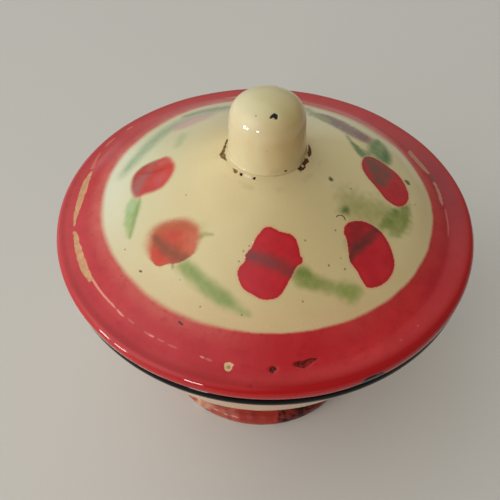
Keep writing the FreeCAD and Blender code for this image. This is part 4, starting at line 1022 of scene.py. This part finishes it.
c = Coat("bowl_enamel_cream_black")
col = c.cream(rgb(228, 212, 168), rgb(219, 202, 154))
sep = c.new("ShaderNodeSeparateXYZ")
c.put(sep.inputs[0], c.p)
# faint runs of glass down the wall, and a red tint up the outer wall: partly a thin spray of red from the foot, partly
# painted red light reflected up from below
squeeze = c.new("ShaderNodeVectorMath", operation="MULTIPLY")
c.put(squeeze.inputs[0], c.p)
squeeze.inputs[1].default_value = (1, 1, 0.12)
runs = c.noise(7, 2, 0.5, 13, squeeze.outputs[0])
col = c.mix(c.span(runs, 0.5, 0.8, 0, 0.22), col, rgb(204, 182, 130))
red_spray_and_bounce = c.math("MULTIPLY", c.math("MULTIPLY", c.math("ADD", c.span(sep.outputs[2], 29.0, 62.0, 1.1, 0.42), c.span(sep.outputs[2], 60.0, 78.0, 0, 0.30)), c.field("out")), c.span(c.noise(0.34, 2, 0.7, 23), 0.25, 0.75, 0.5, 1.0))
col = c.mix(c.math("MULTIPLY", red_spray_and_bounce, c.span(c.noise(16, 2, 0.5, 25), 0.3, 0.7, 0.62, 0.9)), col, rgb(190, 92, 70))
# painted red light reflected up onto the upper outer wall
painted_red_bounce = c.math("MULTIPLY", c.math("MULTIPLY", c.span(sep.outputs[2], 45.0, 70.0, 0, 0.32), c.field("out")), c.span(c.noise(0.34, 2, 0.7, 23), 0.25, 0.75, 0.74, 1.0))
col = c.mix(painted_red_bounce, col, rgb(190, 88, 68))
# inside: marks left by spoons and a tea-coloured bloom on the floor
floor_in = c.math("MULTIPLY", c.math("SUBTRACT", 1, c.field("out")), c.span(sep.outputs[2], 30.0, 36.0, 1, 0))
col = c.mix(c.math("MULTIPLY", floor_in, c.span(c.noise(11, 4, 0.6, 27), 0.42, 0.68, 0, 0.28)), col, rgb(176, 148, 98))
scr = c.new("ShaderNodeVectorMath", operation="MULTIPLY")
c.put(scr.inputs[0], c.p)
scr.inputs[1].default_value = (0.25, 2.2, 1.0)
scratch = c.math("MULTIPLY", c.span(c.noise(1.4, 2, 0.5, 83, scr.outputs[0]), 0.66, 0.72, 0, 0.5), floor_in)
col = c.mix(scratch, col, rgb(158, 140, 108))
ph = c.math("MAXIMUM", c.pinholes(8.0, 0.32, 0.36), c.math("MULTIPLY", c.pinholes(3.4, 0.2, 0.18, 9.0), 0.75))
col = c.mix(c.math("MULTIPLY", ph, 0.8), col, rgb(88, 68, 46))
bk = c.span(c.rough_edge(c.field("black"), 1.4, 0.16, 6), -0.10, 0.14)
col = c.mix(bk, col, c.mix(c.span(c.noise(3, 3, 0.6, 31), 0.4, 0.7), rgb(4, 3, 4), rgb(10, 8, 9)))
ch = c.rough_edge(c.field("chip"), 0.6, 0.18, 38)
col = c.mix(c.span(ch, 0.02, 0.26, 0.45, 0), col, rgb(150, 140, 122))
bare = c.span(ch, -0.06, 0.06, 1, 0)
col = c.mix(bare, col, c.mix(c.span(c.noise(1.4, 3, 0.6, 77), 0.42, 0.62), rgb(84, 66, 58), rgb(128, 88, 60)))
rough = c.fade(bare, c.fade(c.math("MAXIMUM", ph, scratch), c.fade(bk, c.gloss(0.08, 0.16), 0.06), 0.4), 0.55)
bowl_mat = c.finish(col, rough, [c.peel(0.018), c.math("MULTIPLY", bk, 0.03), c.math("MULTIPLY", bare, -0.06), c.math("MULTIPLY", ph, -0.03), c.math("MULTIPLY", runs, 0.05)], 1.42, c.math("MAXIMUM", bare, c.math("MULTIPLY", bk, 0.62)))
bowl.build("bowl_shell_enamelled", bowl_mat, "bowl", "bowl_shell")

# ---------------------------------------------------------------- foot
FOOT_T = 1.1
flare = path(
    [(17.0, 28.5), (25.7, 28.5)],
    arc(25.7, 26.5, 2.0, 90, 0, 24),
    arc(50.2, 26.5, 22.5, 180, 255),
    arc(43.60, 1.87, 3.0, 75, 0, 24),
    [(46.6, 0.55)],
)
flare = soften(dense(flare), 0.14)
inner = dense(path(
    [(44.09, 0.35), (44.09, 3.70)],
    arc(50.2, 26.5, 23.6, 255, 180),
    arc(25.7, 26.5, 0.9, 0, 90, 16),
    [(17.0, 27.4)],
))
inner = soften(inner, 0.14)
base = dense(path(flare[-1], arc(46.05, 0.55, 0.55, 0, -90, 12), arc(44.45, 0.36, 0.36, -90, -180, 10), inner[0]))[1:-1]
half_round.ahead = np.array([-1.0, 0.0])
hole = half_round(inner[-1], flare[0])
run = np.vstack([flare, base, inner, hole])
tag = np.r_[np.zeros(len(flare)), np.full(len(base), 0.5), np.ones(len(inner)), np.full(len(hole), 0.6)]
gap = np.where(tag < 0.3, 0.5, np.where(tag < 0.55, 0.25, 1.0))
gap = np.where((tag < 0.3) & (run[:, 1] < 7), 0.32, gap)
foot = Turned(*thin_out(run, tag, gap), 504)
P = foot.at()
wide = smooth(foot.r0, 28, 45)
foot.r += wide * (0.16 * np.sin(2 * foot.A + 1.9) + 0.08 * np.sin(5 * foot.A + 0.2))
foot.push(np.where(foot.tag < 0.3, 0.05 * ripple(P, 12, 31) * wide, 0))
# dents and thick glass along the lip
foot.push(np.where(foot.tag < 0.3, smooth(-foot.z0, -7, -3) * smooth(foot.z0, 0.6, 1.6) * 0.10 * ripple(P, 7, 32), 0))
FOOT_CHIPS = []
for t, zz, g, w in [(-73.0, 2.6, 1.8, 1.2), (-62.5, 1.6, 1.8, 0.8),
                    (-20, 2.0, 1.5, 0.9), (14, 1.2, 3.4, 1.1), (47, 2.6, 1.3, 0.8), (83, 1.4, 2.0, 1.0), (128, 1.8, 3.0, 1.2), (166, 2.4, 1.6, 0.9), (-151, 1.0, 1.8, 0.8), (-118, 0.7, 1.2, 0.6)]:
    rr = float(np.interp(-zz, -foot.z0[foot.tag[:, 0] < 0.3, 0], foot.r0[foot.tag[:, 0] < 0.3, 0]))
    FOOT_CHIPS.append((rr * math.cos(math.radians(t)), rr * math.sin(math.radians(t)), zz, g, w, t + 90))
chip = np.full(foot.r0.shape, 9.0)
for i, q in enumerate(FOOT_CHIPS):
    chip = np.minimum(chip, chip_at(P, *q, seed=290 + i))
foot.fields["chip"] = np.clip(chip, -3, 9)
foot.fields["out"] = 1 - smooth(foot.tag, 0.2, 0.5)
# a dark patch on the front of the foot's lip, right of middle, round the chips there: painted shade
taz = (np.degrees(foot.A) + 180) % 360 - 180
foot.fields["painted_dark_patch"] = foot.fields["out"] * smooth(taz + 0.9 * ripple(P, 3.0, 34), -78.2, -74.8) * (1 - smooth(taz, -56, -44)) * (1 - smooth(foot.z0 + 0.8 * ripple(P, 4, 35), 5.0, 13.0))
# painted highlights: two paler streaks on the front left of the flare, where less red covers the cream
thin = 0.27 * np.exp(-((taz + 121.5) / 6.5) ** 2) + 0.10 * np.exp(-((taz + 106) / 4.5) ** 2)
foot.fields["thin"] = np.clip(thin * (1 + 0.45 * ripple(P, 5, 36)), 0, 1) * (1 - smooth(foot.z0 + 0.8 * ripple(P, 6, 37), 4.5, 11))
foot.push(-0.20 * smooth(-foot.fields["chip"], -0.25, 0.3))

c = Coat("foot_enamel_red_cream")
sep = c.new("ShaderNodeSeparateXYZ")
c.put(sep.inputs[0], c.p)
col = c.cream(rgb(226, 208, 164), rgb(216, 196, 150))
grain = c.noise(0.34, 2, 0.7, 23)
patch = c.noise(17, 3, 0.55, 5)
# red sprayed from below: full on the lip, thinning up the flare
h = c.math("ADD", sep.outputs[2], c.math("ADD", c.math("MULTIPLY", c.math("SUBTRACT", patch, 0.5), 22), c.math("MULTIPLY", c.math("SUBTRACT", grain, 0.5), 7)))
# less red in the painted highlight streaks
cover = c.math("MULTIPLY", c.math("MULTIPLY", c.span(h, 10, 27, 0.96, 0.30), c.field("out")), c.math("SUBTRACT", 1, c.field("thin")))
red = c.mix(c.span(c.noise(8, 3, 0.55, 41), 0.35, 0.65), rgb(140, 8, 12), rgb(160, 26, 26))
red = c.mix(c.span(c.noise(4, 3, 0.6, 45), 0.55, 0.75, 0, 0.6), red, rgb(170, 36, 42))
col = c.mix(cover, col, red)
# painted shade: the dark patch on the front of the lip
col = c.mix(c.math("MULTIPLY", c.field("painted_dark_patch"), c.span(c.noise(3.4, 4, 0.65, 33), 0.34, 0.62, 0.35, 1.0)), col, rgb(46, 8, 10))
inside_tint = c.math("MULTIPLY", c.math("SUBTRACT", 1, c.field("out")), c.span(patch, 0.3, 0.7, 0.1, 0.45))
col = c.mix(inside_tint, col, rgb(186, 168, 128))
ph = c.math("MAXIMUM", c.pinholes(6.0, 0.32, 0.34), c.math("MULTIPLY", c.pinholes(3.0, 0.2, 0.18, 9.0), 0.75))
col = c.mix(c.math("MULTIPLY", ph, 0.8), col, rgb(84, 58, 44))
# the ring that stands on the table is rubbed to grey iron
rub = c.math("MULTIPLY", c.span(sep.outputs[2], 0.15, 0.7, 1, 0), c.span(c.noise(6, 3, 0.6, 47), 0.35, 0.6, 0.3, 1.0))
col = c.mix(rub, col, rgb(78, 66, 58))
ch = c.rough_edge(c.field("chip"), 0.8, 0.24, 38)
col = c.mix(c.span(ch, 0.02, 0.32, 0.12, 0), col, rgb(186, 150, 128))
bare = c.span(ch, -0.06, 0.06, 1, 0)
col = c.mix(bare, col, c.mix(c.span(c.noise(1.6, 3, 0.6, 77), 0.42, 0.62), rgb(56, 34, 30), rgb(96, 50, 40)))
rough = c.fade(c.math("MAXIMUM", bare, rub), c.fade(ph, c.gloss(0.16, 0.28), 0.4), 0.5)
foot_mat = c.finish(col, rough, [c.peel(0.022), c.math("MULTIPLY", bare, -0.06), c.math("MULTIPLY", ph, -0.03), c.math("MULTIPLY", c.math("MULTIPLY", bare, c.noise(0.6, 3, 0.7, 79)), 0.08)], 1.42, bare)
foot.build("foot_ring_enamelled", foot_mat, "bowl", "foot_ring")

# ---------------------------------------------------------------- floor, light and camera
me = bpy.data.meshes.new("floor")
n = 96
ring_pts = [(6 * math.cos(TAU * i / n), 6 * math.sin(TAU * i / n), 0) for i in range(n)]
me.from_pydata(ring_pts, [], [tuple(range(n))])
floor = bpy.data.objects.new("floor", me)
bpy.context.scene.collection.objects.link(floor)
fm = bpy.data.materials.new("floor_pale")
fm.use_nodes = True
fb = fm.node_tree.nodes["Principled BSDF"]
fb.inputs["Base Color"].default_value = rgb(208, 203, 197)
fb.inputs["Roughness"].default_value = 0.55
fb.inputs["Specular IOR Level"].default_value = 0.25
me.materials.append(fm)

ROOM = (0.215, 0.202, 0.178, 1)
SOFTBOX = (0.80, 0.80, 0.75, 1)
BROAD = (0.82, 0.89, 0.93, 1)
COOL = (0.09, 0.11, 0.12, 1)
LOW = (0.60, 0.60, 0.58, 1)
BACK = (0.40, 0.42, 0.38, 1)
# soft light from the left and a little from behind, fading to a dimmer room on the right
world = bpy.context.scene.world or bpy.data.worlds.new("studio")
bpy.context.scene.world = world
world.use_nodes = True
wn = world.node_tree
wn.nodes.clear()
wo = wn.nodes.new("ShaderNodeOutputWorld")
wb = wn.nodes.new("ShaderNodeBackground")
wt = wn.nodes.new("ShaderNodeTexCoord")


def glow(azimuth, elevation, lo, hi):
    """1 towards one side of the room, fading to 0 away from it; lo and hi are cosines."""
    a, e = math.radians(azimuth), math.radians(elevation)
    d = wn.nodes.new("ShaderNodeVectorMath")
    d.operation = "DOT_PRODUCT"
    wn.links.new(wt.outputs["Generated"], d.inputs[0])
    d.inputs[1].default_value = (math.cos(a) * math.cos(e), math.sin(a) * math.cos(e), math.sin(e))
    s = wn.nodes.new("ShaderNodeMapRange")
    s.interpolation_type = "SMOOTHERSTEP"
    wn.links.new(d.outputs["Value"], s.inputs[0])
    s.inputs[1].default_value, s.inputs[2].default_value = lo, hi
    return s.outputs[0]


def tint(f, a, b):
    n = wn.nodes.new("ShaderNodeMix")
    n.data_type = "RGBA"
    n.blend_type = "ADD"
    wn.links.new(f, n.inputs[0])
    if isinstance(a, bpy.types.NodeSocket):
        wn.links.new(a, n.inputs[6])
    else:
        n.inputs[6].default_value = a
    n.inputs[7].default_value = b
    return n.outputs[2]


sky = tint(glow(203, 34, 0.80, 1.0), ROOM, SOFTBOX)
sky = tint(glow(195, 38, 0.36, 1.0), sky, BROAD)
sky = tint(glow(138, 12, 0.72, 1.0), sky, COOL)
sky = tint(glow(94, 42, 0.58, 1.0), sky, BACK)
# a low bright strip at the far left, as a window sill gives
strip = wn.nodes.new("ShaderNodeMath")
strip.operation = "MULTIPLY"
wn.links.new(glow(139, 0, 0.93, 0.985), strip.inputs[0])
height = wn.nodes.new("ShaderNodeSeparateXYZ")
wn.links.new(wt.outputs["Generated"], height.inputs[0])
low = wn.nodes.new("ShaderNodeMapRange")
low.interpolation_type = "SMOOTHSTEP"
wn.links.new(height.outputs[2], low.inputs[0])
for i, x in enumerate((0.08, 0.24, 1.0, 0.0)):
    low.inputs[i + 1].default_value = x
wn.links.new(low.outputs[0], strip.inputs[1])
sky = tint(strip.outputs[0], sky, LOW)
wn.links.new(sky, wb.inputs[0])
wb.inputs[1].default_value = 1.0
wn.links.new(wb.outputs[0], wo.inputs[0])


def lamp(name, azimuth, elevation, distance, wide, high, watts, colour):
    a, e = math.radians(azimuth), math.radians(elevation)
    d = Vector((math.cos(a) * math.cos(e), math.sin(a) * math.cos(e), math.sin(e)))
    data = bpy.data.lights.new(name, "AREA")
    data.shape = "RECTANGLE"
    data.size, data.size_y = wide, high
    data.energy = watts
    data.color = colour
    ob = bpy.data.objects.new(name, data)
    ob.location = Vector((0, 0, 0.09)) + d * distance
    ob.rotation_mode = "QUATERNION"
    ob.rotation_quaternion = d.to_track_quat("Z", "Y")
    bpy.context.scene.collection.objects.link(ob)
    return ob


lamp("window_left", -157, 6, 1.0, 0.10, 0.21, 1.2, (1.0, 0.98, 0.94))
lamp("window_left_2", -148, 6, 1.0, 0.10, 0.21, 1.1, (1.0, 0.98, 0.94))
lamp("window_front_left", -114, 11, 1.0, 0.14, 0.10, 1.6, (1.0, 0.98, 0.94))

cam = bpy.data.cameras.new("camera")
cam.sensor_width = 36.0
cam.lens = 37.44
cam.clip_start, cam.clip_end = 0.01, 50
ob = bpy.data.objects.new("camera", cam)
pitch, yaw, roll = 0.8708816, -0.0492662, 0.0122265
fwd = Vector((math.sin(yaw) * math.cos(pitch), math.cos(yaw) * math.cos(pitch), -math.sin(pitch)))
right = Vector((math.cos(yaw), -math.sin(yaw), 0))
up = right.cross(fwd)
cx = right * math.cos(roll) + up * math.sin(roll)
cy = up * math.cos(roll) - right * math.sin(roll)
cz = -fwd
rot = Matrix((cx, cy, cz)).transposed().to_4x4()
ob.matrix_world = Matrix.Translation((0.00155, -0.136907, 0.229545)) @ rot
bpy.context.scene.collection.objects.link(ob)
bpy.context.scene.camera = ob

view = bpy.context.scene.view_settings
view.view_transform = "Standard"
view.look = "None"
view.exposure = 0.0
view.gamma = 1.0
